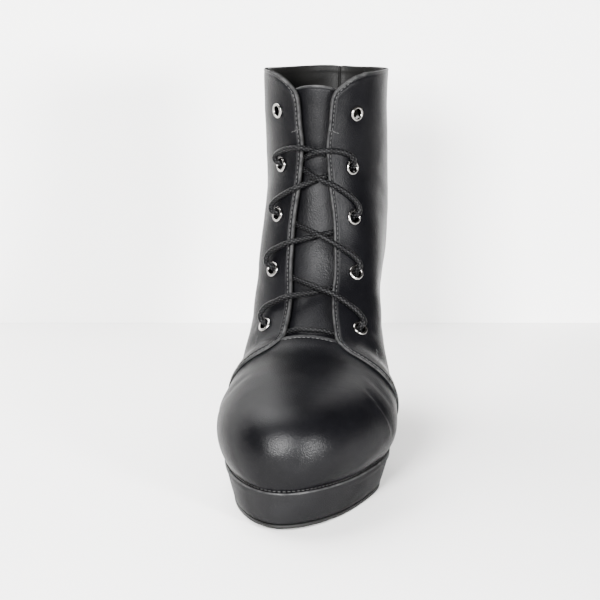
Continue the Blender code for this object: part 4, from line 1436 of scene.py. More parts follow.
@dataclass
class Tongue:
    """The tongue: a curved padded sheet with a bound top edge."""

    last: Last
    finishes: Finishes
    rows: int = 190
    half_columns: int = 34
    narrow: float = 0.72
    bow: float = 0.55

    def make(self) -> Item:
        """Make the tongue.

        Returns:
            The piece.
        """
        s, last = self.last.sizes, self.last
        depth_curve = Curve(*zip(*TONGUE))
        across = np.linspace(-1, 1, 2 * self.half_columns + 1)
        across = np.sign(across) * (1 - (1 - np.abs(across)) ** 1.25)
        across = across[None, :]
        top = s.tongue_top - self.bow * np.abs(across) ** 3
        down = np.linspace(0, 1, self.rows)[:, None]
        down = 1 - (1 - down) ** 1.12
        station = s.tongue_base + (top - s.tongue_base) * down
        spread = self.narrow + (1 - self.narrow) * np.minimum(1.0, (station - s.tongue_base) / 6)
        length = np.where(across >= 0, last.length(station, 1), last.length(station, -1))
        share = across * spread * s.tongue_width / 2 / length
        base = s.wall + s.gap
        depth = base + (s.lace_room - base) * depth_curve(station)
        points = last.lifted(station, share, -depth)
        away = (top - station) * last.pace(station, share)
        side_away = (1 - np.abs(across)) * spread * s.tongue_width / 2
        relief = np.interp(away / MM, *zip(*TONGUE_EDGE)) * MM
        relief = relief - 0.9 * MM * (1 - smoothstep(side_away / (1.3 * MM)))
        calm = smoothstep((station - 10.2) / 1.0) * smoothstep(away / (5 * MM))
        for centre, press in LACE_PRESSURE:
            relief = relief - press * MM * np.exp(-((station - centre) / 0.35) ** 2) * calm
        bumps = 0.22 * MM * unevenness(points, 0.014) + 0.08 * MM * unevenness(points, 0.006)
        relief = relief + calm * bumps
        outer = last.lifted(station, share, -depth + relief)
        deep = smoothstep(np.minimum(side_away / (1.6 * MM), away / (1.2 * MM)))
        thick = s.tongue_thickness * (0.25 + 0.75 * deep)
        inner = last.lifted(station, share, -depth - thick)
        # Lighter colour along the tongue's top edge: partly scuffing, partly a painted highlight on its
        # rolled binding.
        wear = np.interp(away / MM, (0.0, 0.3, 1.2, 1.6), (1.0, 0.9, 0.35, 0.0))
        shell = Shell()
        shell.wall(shell.grid(outer, wear), shell.grid(inner), "btlr")
        finishes = self.finishes
        return shell.make("tongue_sheet", (finishes.tongue, finishes.lining, finishes.cut_edge))


# Rings of an eyelet from the bore's foot to the flange's rim: whether the flange's radius counts or the
# hole's, mm beyond it, height in mm
EYELET_RINGS = ((False, 0.55, -3.1), (False, 0.9, -2.9), (False, 0.2, -2.6), (False, 0.0, -1.8),
                (False, 0.0, 0.1), (False, 0.1, 0.45), (False, 0.32, 0.75), (False, 0.6, 0.83),
                (True, -0.4, 0.68), (True, -0.13, 0.45), (True, 0.0, 0.18), (True, -0.1, -0.1))


@dataclass
class Eyelets:
    """The nickel eyelets: one is modelled and copied into each hole."""

    last: Last
    finishes: Finishes
    sides: int = 40
    sheet: float = 0.00035
    wider: float = 0.00018
    bore_room: float = 0.0003

    def _model(self) -> bpy.types.Mesh:
        """Make an eyelet that stands on its rolled flange's underside.

        Returns:
            Its mesh.
        """
        s = self.last.sizes
        hole, flange = s.eyelet_hole / 2 + self.wider, s.eyelet_flange / 2
        rings = [((flange if outer else hole) + beyond * MM, high * MM)
                 for outer, beyond, high in EYELET_RINGS]
        radius, height = rings[0]
        bpy.ops.object.select_all(action="DESELECT")
        bpy.ops.mesh.primitive_circle_add(vertices=self.sides, radius=radius, location=(0, 0, height))
        item = bpy.context.object
        bpy.ops.object.mode_set(mode="EDIT")
        bpy.ops.mesh.select_all(action="SELECT")
        for wide, high in rings[1:]:
            bpy.ops.mesh.extrude_region_move(TRANSFORM_OT_translate={"value": (0, 0, high - height)})
            scale = wide / radius
            bpy.ops.transform.resize(value=(scale, scale, 1.0), center_override=(0, 0, 0))
            radius, height = wide, high
        bpy.ops.object.mode_set(mode="OBJECT")
        bpy.ops.object.transform_apply(location=True, rotation=False, scale=False)
        with reworked(item.data) as work:
            bmesh.ops.recalc_face_normals(work, faces=work.faces)
            top = max(work.faces, key=lambda f: f.calc_center_median().z)
            if top.normal.z < 0:
                bmesh.ops.reverse_faces(work, faces=work.faces)
        modifier = item.modifiers.new("Sheet", "SOLIDIFY")
        modifier.thickness = self.sheet
        modifier.offset = -1.0
        bpy.ops.object.modifier_apply(modifier=modifier.name)
        mesh = item.data
        mesh.materials.append(self.finishes.nickel)
        mesh.materials.append(self.finishes.shaded_nickel)
        wall = hole + self.bore_room
        # Faces inside the barrel take the darker nickel, painted shade.
        bore = [int(face.center.z < 0.0 and face.center.xy.length < wall) for face in mesh.polygons]
        mesh.polygons.foreach_set("material_index", bore)
        mesh.polygons.foreach_set("use_smooth", [True] * len(mesh.polygons))
        bpy.data.objects.remove(item)
        return mesh

    def make(self) -> list[Item]:
        """Make the ten eyelets, each in place of its node.

        Returns:
            The pieces.
        """
        model = self._model()
        items = []
        for side, word in ((-1, "lateral"), (1, "medial")):
            for number, eyelet in enumerate(EYELETS, start=1):
                mesh = model.copy()
                mesh.transform(eyelet_frame(self.last, eyelet, side))
                item = bpy.data.objects.new(f"ring_{word}_{number}", mesh)
                bpy.context.scene.collection.objects.link(item)
                items.append(item)
        bpy.data.meshes.remove(model)
        return items


def spline(points: Array, steps: int) -> Array:
    """Points on a smooth curve through the given ones.

    Args:
        points: The given points.
        steps: Steps from one given point to the next.

    Returns:
        The curve's points.
    """
    padded = np.concatenate([[2 * points[0] - points[1]], points, [2 * points[-1] - points[-2]]])
    line = []
    for i in range(1, len(padded) - 2):
        a, b, c, d = padded[i - 1:i + 3]
        for t in np.arange(steps) / steps:
            line.append(0.5 * (2 * b + (c - a) * t + (2 * a - 5 * b + 4 * c - d) * t * t
                               + (3 * b - a - 3 * c + d) * t ** 3))
    line.append(padded[-2])
    return np.array(line)


def even(line: Array, pitch: float) -> Array:
    """The line's points again, at an even pitch."""
    run = run_along(line)
    return at_runs(np.linspace(0, run[-1], max(2, int(round(run[-1] / pitch)) + 1)), run, line)


# Loops of the lace from each laced eyelet over its facing to the crossing, the top pair first, outer side
# then inner side: station, signed share, height over the last in mm
LOOPS = (
    (((17.42, -0.189, 3.5), (17.68, -0.188, 3.5), (17.80, -0.158, 3.1), (17.74, -0.108, 3.15),
      (17.62, -0.055, 3.15), (17.38, 0.004, -1.65), (17.20, 0.056, -3.1), (17.30, 0.125, -3.1),
      (18.20, 0.165, -3.1), (19.40, 0.180, -3.1)),
     ((17.42, 0.160, 3.5), (17.64, 0.143, 3.5), (17.64, 0.106, 3.2), (17.52, 0.060, 3.15),
      (17.27, 0.0, 1.65), (17.02, -0.056, -3.1), (17.05, -0.125, -3.1), (17.90, -0.165, -3.1),
      (19.40, -0.180, -3.1))),
    (((15.08, -0.272, 3.5), (15.30, -0.268, 3.5), (15.44, -0.228, 3.2), (15.56, -0.160, 3.15),
      (15.69, -0.093, 3.15), (15.98, 0.0, -1.65), (16.25, 0.075, -3.1), (16.52, 0.145, -3.1)),
     ((15.12, 0.262, 3.5), (15.36, 0.246, 3.5), (15.56, 0.205, 3.2), (15.76, 0.140, 3.15),
      (15.92, 0.080, 3.15), (16.10, 0.012, 1.65), (16.48, -0.070, -3.1), (16.72, -0.140, -3.1))),
    (((13.22, -0.345, 3.5), (13.46, -0.350, 3.5), (13.60, -0.305, 3.2), (13.64, -0.235, 3.15),
      (13.70, -0.160, 3.15), (13.92, 0.0, -1.65), (14.22, 0.140, -3.1), (14.52, 0.215, -3.1)),
     ((13.20, 0.330, 3.5), (13.36, 0.316, 3.5), (13.50, 0.260, 3.2), (13.66, 0.165, 3.15),
      (13.84, 0.090, 2.6), (14.04, 0.012, 1.65), (14.42, -0.135, -3.1), (14.66, -0.205, -3.1))),
    (((11.34, -0.378, 3.5), (11.60, -0.376, 3.5), (11.75, -0.330, 3.2), (11.76, -0.245, 3.15),
      (11.82, -0.165, 3.15), (12.06, 0.010, -1.65), (12.40, 0.160, -3.1), (12.68, 0.255, -3.1)),
     ((11.30, 0.372, 3.5), (11.54, 0.345, 3.5), (11.72, 0.280, 3.2), (11.94, 0.175, 3.15),
      (12.06, 0.100, 2.7), (12.18, 0.030, 1.65), (12.64, -0.160, -3.1), (12.84, -0.250, -3.1))),
)

# The bar between the lowest pair of eyelets, outer side first
BAR = ((10.74, -0.30, -3.1), (10.60, -0.25, -3.1), (10.58, -0.175, -3.1), (10.56, -0.09, -2.0),
       (10.52, 0.0, -1.7), (10.56, 0.09, -2.0), (10.58, 0.175, -3.1), (10.60, 0.25, -3.1),
       (10.74, 0.30, -3.1))


@dataclass
class Lace:
    """The waxed round lace, in one run from one hidden end over all laced eyelets to the other."""

    last: Last
    finishes: Finishes
    sides: int = 20
    pitch: float = 0.00034
    plump: float = 1.24
    braid: float = 0.05
    braid_pitch: float = 0.0024
    strands: int = 5
    rounds: int = 14

    def _through(self, eyelet: tuple[float, float], side: int) -> list[Triple]:
        """Places where the lace comes up through an eyelet."""
        station, share = eyelet[0], side * eyelet[1]
        return [(station - 0.02, share, -1.9), (station + 0.02, share, 0.0),
                (station + 0.10, share * 1.01, 1.9)]

    def _places(self) -> Array:
        """Put the lace's route together.

        Returns:
            Station, signed share and height in mm of each.
        """
        def half(side: int) -> list[Triple]:
            """Run from the lowest eyelet of a side up to the hidden end.

            Args:
                side: 1 for the inner, -1 for the outer.

            Returns:
                The places.
            """
            places: list[Triple] = []
            at = side
            for number in (4, 3, 2, 1):
                loop = LOOPS[number - 1][0 if at < 0 else 1]
                places += self._through(EYELETS[number], at) + list(loop)
                at = -at
            return places

        return np.array(half(-1)[::-1] + list(BAR) + half(1))

    def make(self) -> Item:
        """Make the lace.

        Returns:
            The piece.
        """
        s, last = self.last.sizes, self.last
        places = self._places()
        line = even(spline(last.lifted(places[:, 0], places[:, 1], places[:, 2] * MM), 16), self.pitch)
        for _ in range(self.rounds):
            line[1:-1] += 0.5 * ((line[:-2] + line[2:]) / 2 - line[1:-1])
        line = even(line, self.pitch)
        ahead = unit(np.gradient(line, axis=0))
        across = np.zeros_like(line)
        normal = np.cross(ahead[0], (0.0, 0.0, 1.0))
        for i, way in enumerate(ahead):
            normal = normal - way * float(normal @ way)
            normal = normal / np.linalg.norm(normal)
            across[i] = normal
        other = np.cross(ahead, across)
        turn = 2 * math.pi * np.arange(self.sides) / self.sides
        run = (np.arange(len(line)) * self.pitch / self.braid_pitch * 2 * math.pi)[:, None]
        one, two = np.cos(self.strands * turn + run), np.cos(self.strands * turn - run)
        crown = (np.maximum(one, two) + 0.4) / 1.4
        # Painted highlight: the colour lightens where the crown of both strands rises, standing in for glints
        # on the wax.
        painted_glint = np.clip((one + 1) * (two + 1) / 4, 0, 1) ** 3
        radius = s.lace / 2 * self.plump * (1 + self.braid * (crown - 0.7))
        points = (line[:, None] + radius[..., None] * (np.cos(turn)[:, None] * across[:, None]
                                                        + np.sin(turn)[:, None] * other[:, None]))
        rows = len(line)
        flat = np.concatenate([points.reshape(-1, 3), line[:1], line[-1:]])
        faces = []
        for i in range(rows - 1):
            a, b = i * self.sides, (i + 1) * self.sides
            for k in range(self.sides):
                n = (k + 1) % self.sides
                faces.append((a + k, a + n, b + n, b + k))
        last_ring = (rows - 1) * self.sides
        for k in range(self.sides):
            n = (k + 1) % self.sides
            faces.append((rows * self.sides, n, k))
            faces.append((rows * self.sides + 1, last_ring + k, last_ring + n))
        LOG.info("lace: %.0f mm in view and under the facings", rows * self.pitch / MM)
        crowns = np.concatenate([painted_glint.reshape(-1), [0.0, 0.0]])
        return piece("lace_run", flat, faces, (self.finishes.lace,), {"crown": crowns})


@dataclass
class Stitching:
    """Rows of stitches, each stitch a small pointed roll of thread."""

    last: Last
    finishes: Finishes
    pitch: float = 0.0025
    length: float = 0.0018
    thickness: float = 0.00052
    inset: float = 0.002
    facing_top: float = 22.55
    throat_reach: float = 0.17
    throat_inset: float = 0.00285
    tack_gap: float = 0.006
    welt_end: float = 0.125

    def _model(self) -> tuple[Array, list[tuple[int, ...]]]:
        """Make one stitch along X.

        Returns:
            The points and the faces.
        """
        bpy.ops.object.select_all(action="DESELECT")
        bpy.ops.mesh.primitive_uv_sphere_add(segments=6, ring_count=5, radius=0.5)
        item = bpy.context.object
        points = np.array([tuple(v.co) for v in item.data.vertices])
        faces = [tuple(p.vertices) for p in item.data.polygons]
        bpy.data.objects.remove(item, do_unlink=True)
        points = points[:, [2, 0, 1]]
        points[:, 0] = np.sign(points[:, 0]) * np.abs(points[:, 0] * 2) ** 0.8 / 2
        return points * np.array([self.length, self.thickness, self.thickness]), faces

    def make(self, name: str, rows: Iterable[tuple[Array, Array]]) -> Item:
        """All stitches of some rows as one piece.

        Args:
            name: Name of the piece.
            rows: For each row its line of points and the normals there.

        Returns:
            The piece.
        """
        model, rings = self._model()
        reach = self.length / 2
        points, faces = [], []
        for line, normals in rows:
            run = run_along(line)
            for at in np.arange(self.pitch / 2, run[-1], self.pitch):
                here = at_runs(at, run, line)
                way = unit(at_runs(at + reach, run, line) - at_runs(at - reach, run, line))
                up = at_runs(at, run, normals)
                up = unit(up - way * float(up @ way))
                turned = model @ np.array([way, np.cross(up, way), up])
                first = len(points) * len(model)
                points.append(turned + here)
                faces += [tuple(first + i for i in ring) for ring in rings]
        return piece(name, np.concatenate(points), faces, (self.finishes.thread,))

    def _row(self, station: Array, share: Array, height: float) -> tuple[Array, Array]:
        """Points and normals of a row over the last."""
        return self.last.lifted(station, share, height), self.last.normal(station, share)

    def upper(self, throat: Callable[[Array], Array]) -> Item:
        """Rows along the facings, the quarters' lower edges, the throat's edge and the tacks.

        Args:
            throat: Gives the stations of the throat's edge at signed shares.

        Returns:
            The piece.
        """
        s, last = self.last.sizes, self.last
        rows = []
        for side in (-1, 1):
            station = np.linspace(s.seam_station + 0.15, self.facing_top, 500)
            share = last.facing(station)
            shift = self.inset / last.length(station, side)
            front = (station, share + shift)
            share_low = np.linspace(float(last.facing(s.seam_station)) + 0.03, 0.985, 400)
            low = last.derby(share_low)
            slope = np.gradient(low, share_low)
            metres = last.pace(low, side * share_low)
            stretch = np.sqrt(1 + (slope * metres / last.length(low, side)) ** 2)
            under = (low + self.inset * stretch / metres, share_low)
            for places in (front, under):
                rows.append(self._row(places[0], side * places[1], s.quarter_step - 0.17 * MM))
        across = np.linspace(-self.throat_reach, self.throat_reach, 60)
        low = throat(across)
        rows.append(self._row(low - self.throat_inset / last.pace(low, across), across, 0.05 * MM))
        for begin, end in TACKS:
            for shift in (-self.tack_gap, self.tack_gap):
                at = np.linspace(0, 1, 30)
                station = begin[0] + (end[0] - begin[0]) * at
                share = begin[1] + (end[1] - begin[1]) * at + shift
                rows.append(self._row(station, share, s.quarter_step + 0.06 * MM))
        return self.make("seam_threads", rows)

    def platform(self, sole: Sole) -> Item:
        """Make the row in the groove between the upper and the platform's lip, round the forefoot.

        Args:
            sole: The sole's loops.

        Returns:
            The piece.
        """
        loop = sole.outline(0.00035)
        loop = np.concatenate([loop[len(loop) // 2:], loop[:len(loop) // 2]])
        loop = loop[loop[:, 1] < self.welt_end]
        line = np.column_stack([loop, self.last.footbed(loop[:, 1]) + 0.0002])
        return self.make("welt_threads", [(line, np.tile((0.0, 0.0, 1.0), (len(line), 1)))])


class Sole:
    """Loops of the feather line, which platform, outsole and heel share."""

    STEPS = 150

    def __init__(self, last: Last) -> None:
        """Keep the last.

        Args:
            last: The last.
        """
        self.last = last

    def side_line(self, side: int) -> Array:
        """The feather line of one side as even points from the toe to the heel's back.

        Args:
            side: 1 for the inner, -1 for the outer.

        Returns:
            The points, seen from above.
        """
        s = self.last.sizes
        half = 0.5 * (s.tip + s.heel_end)
        shares = np.linspace(0, 1, 400)
        ys = np.concatenate([s.tip + (half - s.tip) * shares ** 2,
                             s.heel_end - (s.heel_end - half) * (1 - shares[1:]) ** 2])
        line = np.stack([self.last.middle(ys) + side * self.last.foot_half(ys, side), ys], 1)
        run = run_along(line)
        return at_runs(np.linspace(0, run[-1], self.STEPS + 1), run, line)

    def outline(self, spread: Callable[[Array], Array] | float) -> Array:
        """The closed loop moved outwards: toe, inner side, heel, outer side.

        Args:
            spread: How far outwards, in metres, or what gives it at y.

        Returns:
            The loop's points, seen from above.
        """
        loop = np.concatenate([self.side_line(1), self.side_line(-1)[-2:0:-1]])
        along = np.roll(loop, -1, 0) - np.roll(loop, 1, 0)
        normal = unit(np.stack([along[:, 1], -along[:, 0]], 1))
        wide = spread(loop[:, 1]) if callable(spread) else np.full(len(loop), spread)
        return loop + normal * wide[:, None]

    def side(self, depth: float) -> Callable[[Array], Array]:
        """Outward spread of the platform's side at a depth share.

        Args:
            depth: From 0 at the top to 1 at the lower edge.

        Returns:
            What gives the spread at y.
        """
        s = self.last.sizes
        lip = s.quarter_step + s.gap

        def spread(y: Array) -> Array:
            """Spread at y."""
            toe = 0.4 + 0.6 * np.clip((y - s.tip) / (0.25 * s.length), 0.0, 1.0)
            return lip - (lip + s.taper * toe) * depth
        return spread

    @staticmethod
    def stack(name: str, levels: Sequence[Array], material: Material,
              wear: Sequence[float] | None = None) -> Item:
        """A closed piece from loops, one under the other, capped by strips from side to side.

        Args:
            name: Name of the piece.
            levels: The loops, one under the other.
            material: Its material.
            wear: How much scuffing and painted edge highlight each loop gets, from 0 to 1.

        Returns:
            The piece.
        """
        count = len(levels[0])
        faces = []
        for low in range(len(levels) - 1):
            a, b = low * count, (low + 1) * count
            for i in range(count):
                j = (i + 1) % count
                faces.append((a + j, a + i, b + i, b + j))
        for base, flip in ((0, False), ((len(levels) - 1) * count, True)):
            cap = [(base, base + 1, base + count - 1)]
            cap += [(base + i, base + i + 1, base + count - i - 1, base + count - i)
                    for i in range(1, (count - 1) // 2)]
            if count % 2 == 0:
                cap.append((base + count // 2 - 1, base + count // 2, base + count // 2 + 1))
            faces += [ring[::-1] if flip else ring for ring in cap]
        worn_and_sheen = np.repeat(wear if wear is not None else np.zeros(len(levels)), count)
        return piece(name, np.concatenate(levels), faces, (material,), {"wear": worn_and_sheen})


@dataclass
class Platform:
    """The wrapped platform with its shank, and the thin outsole under it."""

    sole: Sole
    finishes: Finishes
    lip: float = 0.0009

    def platform(self) -> Item:
        """Make the platform, with a rounded lip on top and a rounded lower edge.

        Returns:
            The piece.
        """
        last = self.sole.last
        s = last.sizes

        def top(y: Array) -> Array:
            """Height of the top face."""
            return last.footbed(y) - s.gap

        def bottom(y: Array) -> Array:
            """Height of the lower face."""
            return last.underside(y) + s.outsole + s.gap

        levels, wear = [], []
        steps = [(-0.010, 0.0, 0.0), (-0.0022, 0.0, 0.0)]
        for turn in (0, 20, 40, 60, 80):
            a = math.radians(turn)
            steps.append((-self.lip + self.lip * math.sin(a), self.lip * (1 - math.cos(a)), 0.0))
        steps += [(0.0, 0.0012, 0.0), (-0.00012, 0.0018, 0.0), (-0.00008, 0.0026, 0.0)]
        steps += [(0.00022 * math.sin(math.pi * k / 12), 0.0, k / 12) for k in range(3, 12)]
        steps += [(-0.00010, 0.0, 0.96), (-0.00035, 0.0, 0.985), (-0.0009, 0.0, 1.0), (-0.006, 0.0, 1.0)]
        for shift, down, depth in steps:
            loop = self.sole.outline(lambda y: self.sole.side(depth)(y) + shift)
            y = loop[:, 1]
            thick = top(y) - bottom(y)
            z = top(y) - np.minimum(down, 0.4 * thick) - thick * depth
            levels.append(np.column_stack([loop, z]))
            # Lighter colour on the platform's rounded lip: partly scuffing, partly a painted highlight.
            wear.append(0.9 if 0.0001 < down < 0.0009 else 0.0)
        return self.sole.stack("platform_cover", levels, self.finishes.wrap, wear)

    def outsole(self) -> Item:
        """Make the outsole, from the toe to the heel's breast.

        Returns:
            The piece.
        """
        last = self.sole.last
        s = last.sizes
        limit = s.heel_breast - s.gap

        def level(shift: float, up: float) -> Array:
            """A loop cut off at the breast.

            Args:
                shift: How far the loop is moved outwards.
                up: Height over the underside.

            Returns:
                The loop's points.
            """
            def spread(y: Array) -> Array:
                """Spread at y."""
                return self.sole.side(1.0)(y) - s.gap + shift

            loop = self.sole.outline(spread)
            half = self.sole.STEPS
            inner = loop[:half + 1][loop[:half + 1, 1] < limit - 0.0005]
            outer = loop[half + 1:][loop[half + 1:, 1] < limit - 0.0005]
            count = min(len(inner), len(outer) + 1)
            ends = []
            for side in (1, -1):
                wide = float(last.foot_half(s.heel_breast, side)) + float(spread(np.array(s.heel_breast)))
                ends.append((float(last.middle(s.heel_breast)) + side * wide, limit))
            middle = (0.5 * (ends[0][0] + ends[1][0]), limit)
            flat = np.concatenate([inner[:count], [ends[0], middle, ends[1]], outer[len(outer) - count + 1:]])
            z = last.underside(flat[:, 1]) + up
            return np.column_stack([flat, z])

        t = s.outsole
        steps = ((-0.004, t), (-0.0002, t), (0.0, t - 0.0002), (0.00012, t * 0.6), (0.0001, 0.0004),
                 (-0.0001, 0.00015), (-0.0005, 0.0), (-0.004, 0.0))
        levels = [level(shift, up) for shift, up in steps]
        return self.sole.stack("outsole_sheet", levels, self.finishes.rubber)


@dataclass
class Heel:
    """The covered heel block and the rubber lift under it."""

    sole: Sole
    finishes: Finishes
    sharp_from: float = 40.0
    flare: float = 2.2
    breast_wide: float = 0.45
    breast_hollow: float = 0.003
    depths: tuple[float, ...] = (0.0, 0.01, 0.03, 0.06, 0.1, 0.15, 0.2, 0.27, 0.34, 0.42, 0.5, 0.58, 0.66,
                                 0.74, 0.82, 0.9, 0.96, 0.985, 0.997, 1.0)

    def loop(self, down: float) -> Array:
        """Closed loop of the block at one depth.

        Args:
            down: Depth from 0 at the seat to 1 at the lift.

        Returns:
            The loop's points, seen from above.
        """
        s = self.sole.last.sizes
        side = self.sole.outline(self.sole.side(1.0))
        side = side[side[:, 1] > s.heel_breast + 2 * s.gap]
        side = side[np.argsort(np.arctan2(side[:, 0], side[:, 1] - s.heel_breast))]
        curve = 1 - (1 - down) ** self.flare
        wide = 1 + (s.heel_foot_width / s.seat_width - 1) * curve
        long = 1 + (s.heel_foot_length / (s.heel_end - s.heel_breast) - 1) * curve
        back = s.heel_end - s.heel_set_in * down
        w, breast = s.seat_width, s.heel_breast
        front = np.array([(-w * self.breast_wide, breast + s.gap)])
        other = np.array([(w * self.breast_wide, breast + s.gap)])
        span = np.linspace(0.40, -0.40, 17)
        hollow = self.breast_hollow * (1 - (span / self.breast_wide) ** 2)
        inside = np.stack([w * span, breast + hollow], 1)
        loop = np.concatenate([front, side, other, inside])
        return np.stack([loop[:, 0] * wide, back - (s.heel_end - loop[:, 1]) * long], 1)

    def _fan(self, name: str, levels: Sequence[Array], material: Material,
             wear: Sequence[float]) -> Item:
        """A closed piece from loops, capped by fans.

        Args:
            name: Name of the piece.
            levels: The loops.
            material: Its material.
            wear: How much scuffing and painted edge highlight each loop gets, from 0 to 1.

        Returns:
            The piece.
        """
        count = len(levels[0])
        points = list(levels) + [levels[0].mean(0)[None], levels[-1].mean(0)[None]]
        faces = []
        for low in range(len(levels) - 1):
            a, b = low * count, (low + 1) * count
            faces += [(a + i, a + (i + 1) % count, b + (i + 1) % count, b + i) for i in range(count)]
        total = len(levels) * count
        for base, tip, flip in ((0, total, True), (total - count, total + 1, False)):
            for i in range(count):
                ring = (base + i, base + (i + 1) % count, tip)
                faces.append(ring[::-1] if flip else ring)
        worn_and_sheen = np.concatenate([np.repeat(wear, count), [0.0, 0.0]])
        item = piece(name, np.concatenate(points), faces, (material,), {"wear": worn_and_sheen})
        with reworked(item.data) as work:
            bmesh.ops.recalc_face_normals(work, faces=work.faces)
        bpy.ops.object.select_all(action="DESELECT")
        bpy.context.view_layer.objects.active = item
        item.select_set(True)
        bpy.ops.object.shade_smooth_by_angle(angle=math.radians(self.sharp_from))
        return item

    def block(self) -> Item:
        """Make the covered block.

        Returns:
            The piece.
        """
        last = self.sole.last
        s = last.sizes
        bottom = s.top_lift + s.gap
        seat = self.loop(0.0)
        top = last.underside(seat[:, 1]) + s.outsole
        levels, wear = [], []
        for down in self.depths:
            loop = self.loop(down)
            middle = loop.mean(0)
            pinch = 0.0005 if down in (0.0, 1.0) else 0.0001 if down in (0.01, 0.997) else 0.0
            loop = loop - unit(loop - middle) * pinch
            levels.append(np.column_stack([loop, top + (bottom - top) * down]))
            # Lighter colour on the loop just above the block's lower edge: partly scuffing, partly a painted
            # highlight.
            wear.append(0.5 if down == 0.997 else 0.0)
        return self._fan("heel_cover", levels, self.finishes.leather, wear)

    def lift(self) -> Item:
        """Make the rubber lift.

        Returns:
            The piece.
        """
        s = self.sole.last.sizes
        loop = self.loop(1.0)
        middle = loop.mean(0)
        levels = []
        for pinch, z in ((0.0004, s.top_lift), (0.0, s.top_lift - 0.0003), (0.0, 0.0032), (0.00018, 0.003),
                         (0.0, 0.0028), (0.0, 0.0006), (0.0002, 0.0002), (0.0007, 0.0)):
            flat = loop - unit(loop - middle) * pinch
            levels.append(np.column_stack([flat, np.full(len(flat), z)]))
        return self._fan("heel_lift", levels, self.finishes.rubber, [0.0] * len(levels))


# Lamps: name, place, what it aims at, width and length in metres, watts
LAMPS = (
    ("front_left", (-0.115, -1.09, 0.537), (0.0, 0.05, 0.08), (0.30, 0.30), 58.0),
    ("front_right", (0.93, -0.865, 0.37), (0.0, 0.05, 0.08), (0.24, 0.24), 46.0),
    ("wall_left", (-0.55, 0.28, 0.95), (-0.30, 0.50, 0.05), (1.1, 0.7), 44.0),
)


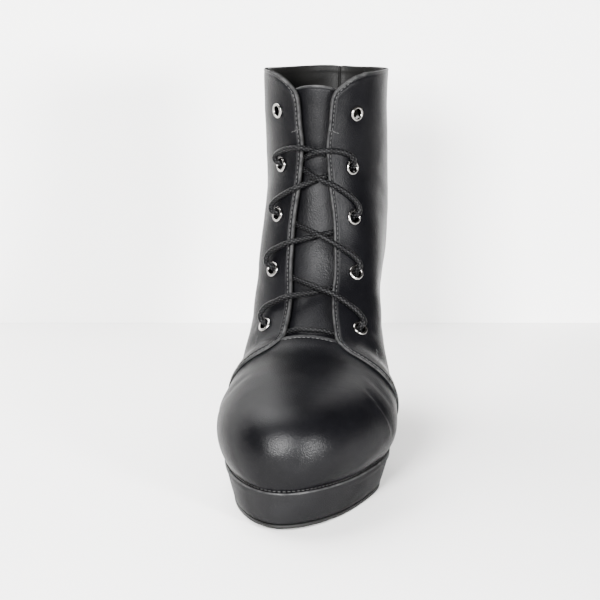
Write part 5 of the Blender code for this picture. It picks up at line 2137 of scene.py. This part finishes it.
@dataclass
class Studio:
    """Floor, wall, lights and camera."""

    shift: Vector
    camera_place: Triple = (0.1821, -0.8322, 0.3464)
    azimuth: float = 11.0
    pitch: float = 14.8
    lens: float = 109.2
    wall_away: float = 1.247
    wall_span: tuple[float, float] = (-1.30, 0.24)
    wall_height: float = 0.50
    floor_size: float = 4.0
    floor_tone: Triple = (0.86, 0.85, 0.84)
    wall_tone: Triple = (0.93, 0.925, 0.915)
    floor_drop: float = 0.0002
    surround: float = 0.10

    def _ahead(self) -> Vector:
        """Level direction in which the camera looks."""
        turn = math.radians(self.azimuth)
        return Vector((-math.sin(turn), math.cos(turn), 0.0))

    def stage(self) -> None:
        """Lay the floor and set up the wall."""
        origin = Vector(self.camera_place) + self.shift
        origin.z = 0.0
        foot = origin + self._ahead() * self.wall_away
        turn = Matrix.Rotation(math.radians(self.azimuth), 4, "Z")
        left, right = self.wall_span
        middle = foot + turn @ Vector(((left + right) / 2, 0.0, self.wall_height / 2))
        upright = Matrix.Rotation(math.radians(90.0), 4, "X")
        across = Matrix.Diagonal((right - left, self.wall_height, 1.0, 1.0))
        floor = Matrix.Translation((0.0, 0.0, -self.floor_drop)) @ Matrix.Scale(self.floor_size, 4)
        wall = Matrix.Translation(middle) @ turn @ upright @ across
        for name, tone, matrix in (("floor", self.floor_tone, floor), ("wall", self.wall_tone, wall)):
            paint = StudioFinish(f"{name}_paint", tone).make()
            self._see_through_behind(paint)
            bpy.ops.object.select_all(action="DESELECT")
            bpy.ops.mesh.primitive_plane_add(size=1.0)
            item = bpy.context.object
            item.name = name
            item.data.transform(matrix)
            item.data.materials.append(paint)

    @staticmethod
    def _see_through_behind(material: Material) -> None:
        """Let the back of a material's faces be looked through, for views from behind and below.

        Args:
            material: The material.
        """
        tree = material.node_tree
        shader, output = tree.nodes["Principled BSDF"], tree.nodes["Material Output"]
        mix = tree.nodes.new("ShaderNodeMixShader")
        tree.links.new(tree.nodes.new("ShaderNodeNewGeometry").outputs["Backfacing"], mix.inputs[0])
        tree.links.new(shader.outputs[0], mix.inputs[1])
        tree.links.new(tree.nodes.new("ShaderNodeBsdfTransparent").outputs[0], mix.inputs[2])
        tree.links.new(mix.outputs[0], output.inputs["Surface"])

    def lights(self) -> None:
        """Set up soft lights and an even pale surround."""
        world = bpy.data.worlds.new("surround")
        world.use_nodes = True
        back = world.node_tree.nodes["Background"]
        back.inputs["Color"].default_value = (1.0, 0.99, 0.975, 1.0)
        back.inputs["Strength"].default_value = self.surround
        bpy.context.scene.world = world
        for name, place, aim, size, power in LAMPS:
            bpy.ops.object.light_add(type="AREA", location=place)
            lamp = bpy.context.object
            lamp.name = name
            lamp.data.shape = "RECTANGLE"
            lamp.data.size, lamp.data.size_y = size
            lamp.data.energy = power
            lamp.rotation_euler = (Vector(aim) - Vector(place)).to_track_quat("-Z", "Y").to_euler()

    def camera(self) -> None:
        """Set up the camera at the photograph's angle."""
        place = Vector(self.camera_place) + self.shift
        pitch = math.radians(self.pitch)
        look = self._ahead() * math.cos(pitch) + Vector((0.0, 0.0, -math.sin(pitch)))
        bpy.ops.object.camera_add(location=place, rotation=look.to_track_quat("-Z", "Y").to_euler())
        camera = bpy.context.object
        camera.data.lens = self.lens
        camera.data.sensor_width = 36.0
        camera.data.clip_start = 0.01
        camera.data.clip_end = 20.0
        bpy.context.scene.camera = camera


def settle(item: Item, shift: Vector, slot: Slot, *nodes: str) -> None:
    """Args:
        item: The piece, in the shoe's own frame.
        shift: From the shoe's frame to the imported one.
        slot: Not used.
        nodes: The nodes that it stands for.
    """
    item.data.transform(Matrix.Translation(shift))
    if nodes:
        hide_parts(*nodes)
    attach(item, "root")
    LOG.info("%s: %d faces", item.name, len(item.data.polygons))


def main() -> None:
    """Build and dress the boot."""
    logging.basicConfig(level=logging.INFO, format="%(message)s")
    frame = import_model()
    lift_low, lift_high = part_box("heel_top_lift")
    shift = Vector(((lift_low.x + lift_high.x) / 2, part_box("upper")[0].y, 0.0))
    Studio(shift).camera()
    finishes = Finishes()
    last = Last(BootSizes())
    upper = Upper(last, finishes)
    settle(upper.quarters(), shift, Slot.LEATHER, "upper")
    settle(upper.vamp(), shift, Slot.LEATHER, "upper")
    settle(Tongue(last, finishes).make(), shift, Slot.LEATHER, "tongue")
    rings = Eyelets(last, finishes).make()
    for item in rings:
        settle(item, shift, Slot.NICKEL, item.name.replace("ring", "eyelet"))
    crossings = [f"lace_cross_{number}" for number in range(1, 5)]
    settle(Lace(last, finishes).make(), shift, Slot.LACE, "lace_bar", *crossings)
    sole = Sole(last)
    stitching = Stitching(last, finishes)
    settle(stitching.upper(upper.vamp_end), shift, Slot.LEATHER)
    settle(stitching.platform(sole), shift, Slot.LEATHER)
    platform = Platform(sole, finishes)
    settle(platform.platform(), shift, Slot.LEATHER, "platform")
    settle(platform.outsole(), shift, Slot.RUBBER, "outsole")
    heel = Heel(sole, finishes)
    settle(heel.block(), shift, Slot.LEATHER, "heel_block")
    settle(heel.lift(), shift, Slot.RUBBER, "heel_top_lift")
    insole = frame["nodes"]["insole"]
    insole.data.materials.clear()
    insole.data.materials.append(finishes.lining)
    studio = Studio(shift)
    studio.stage()
    studio.lights()


if __name__ == "__main__":
    main()
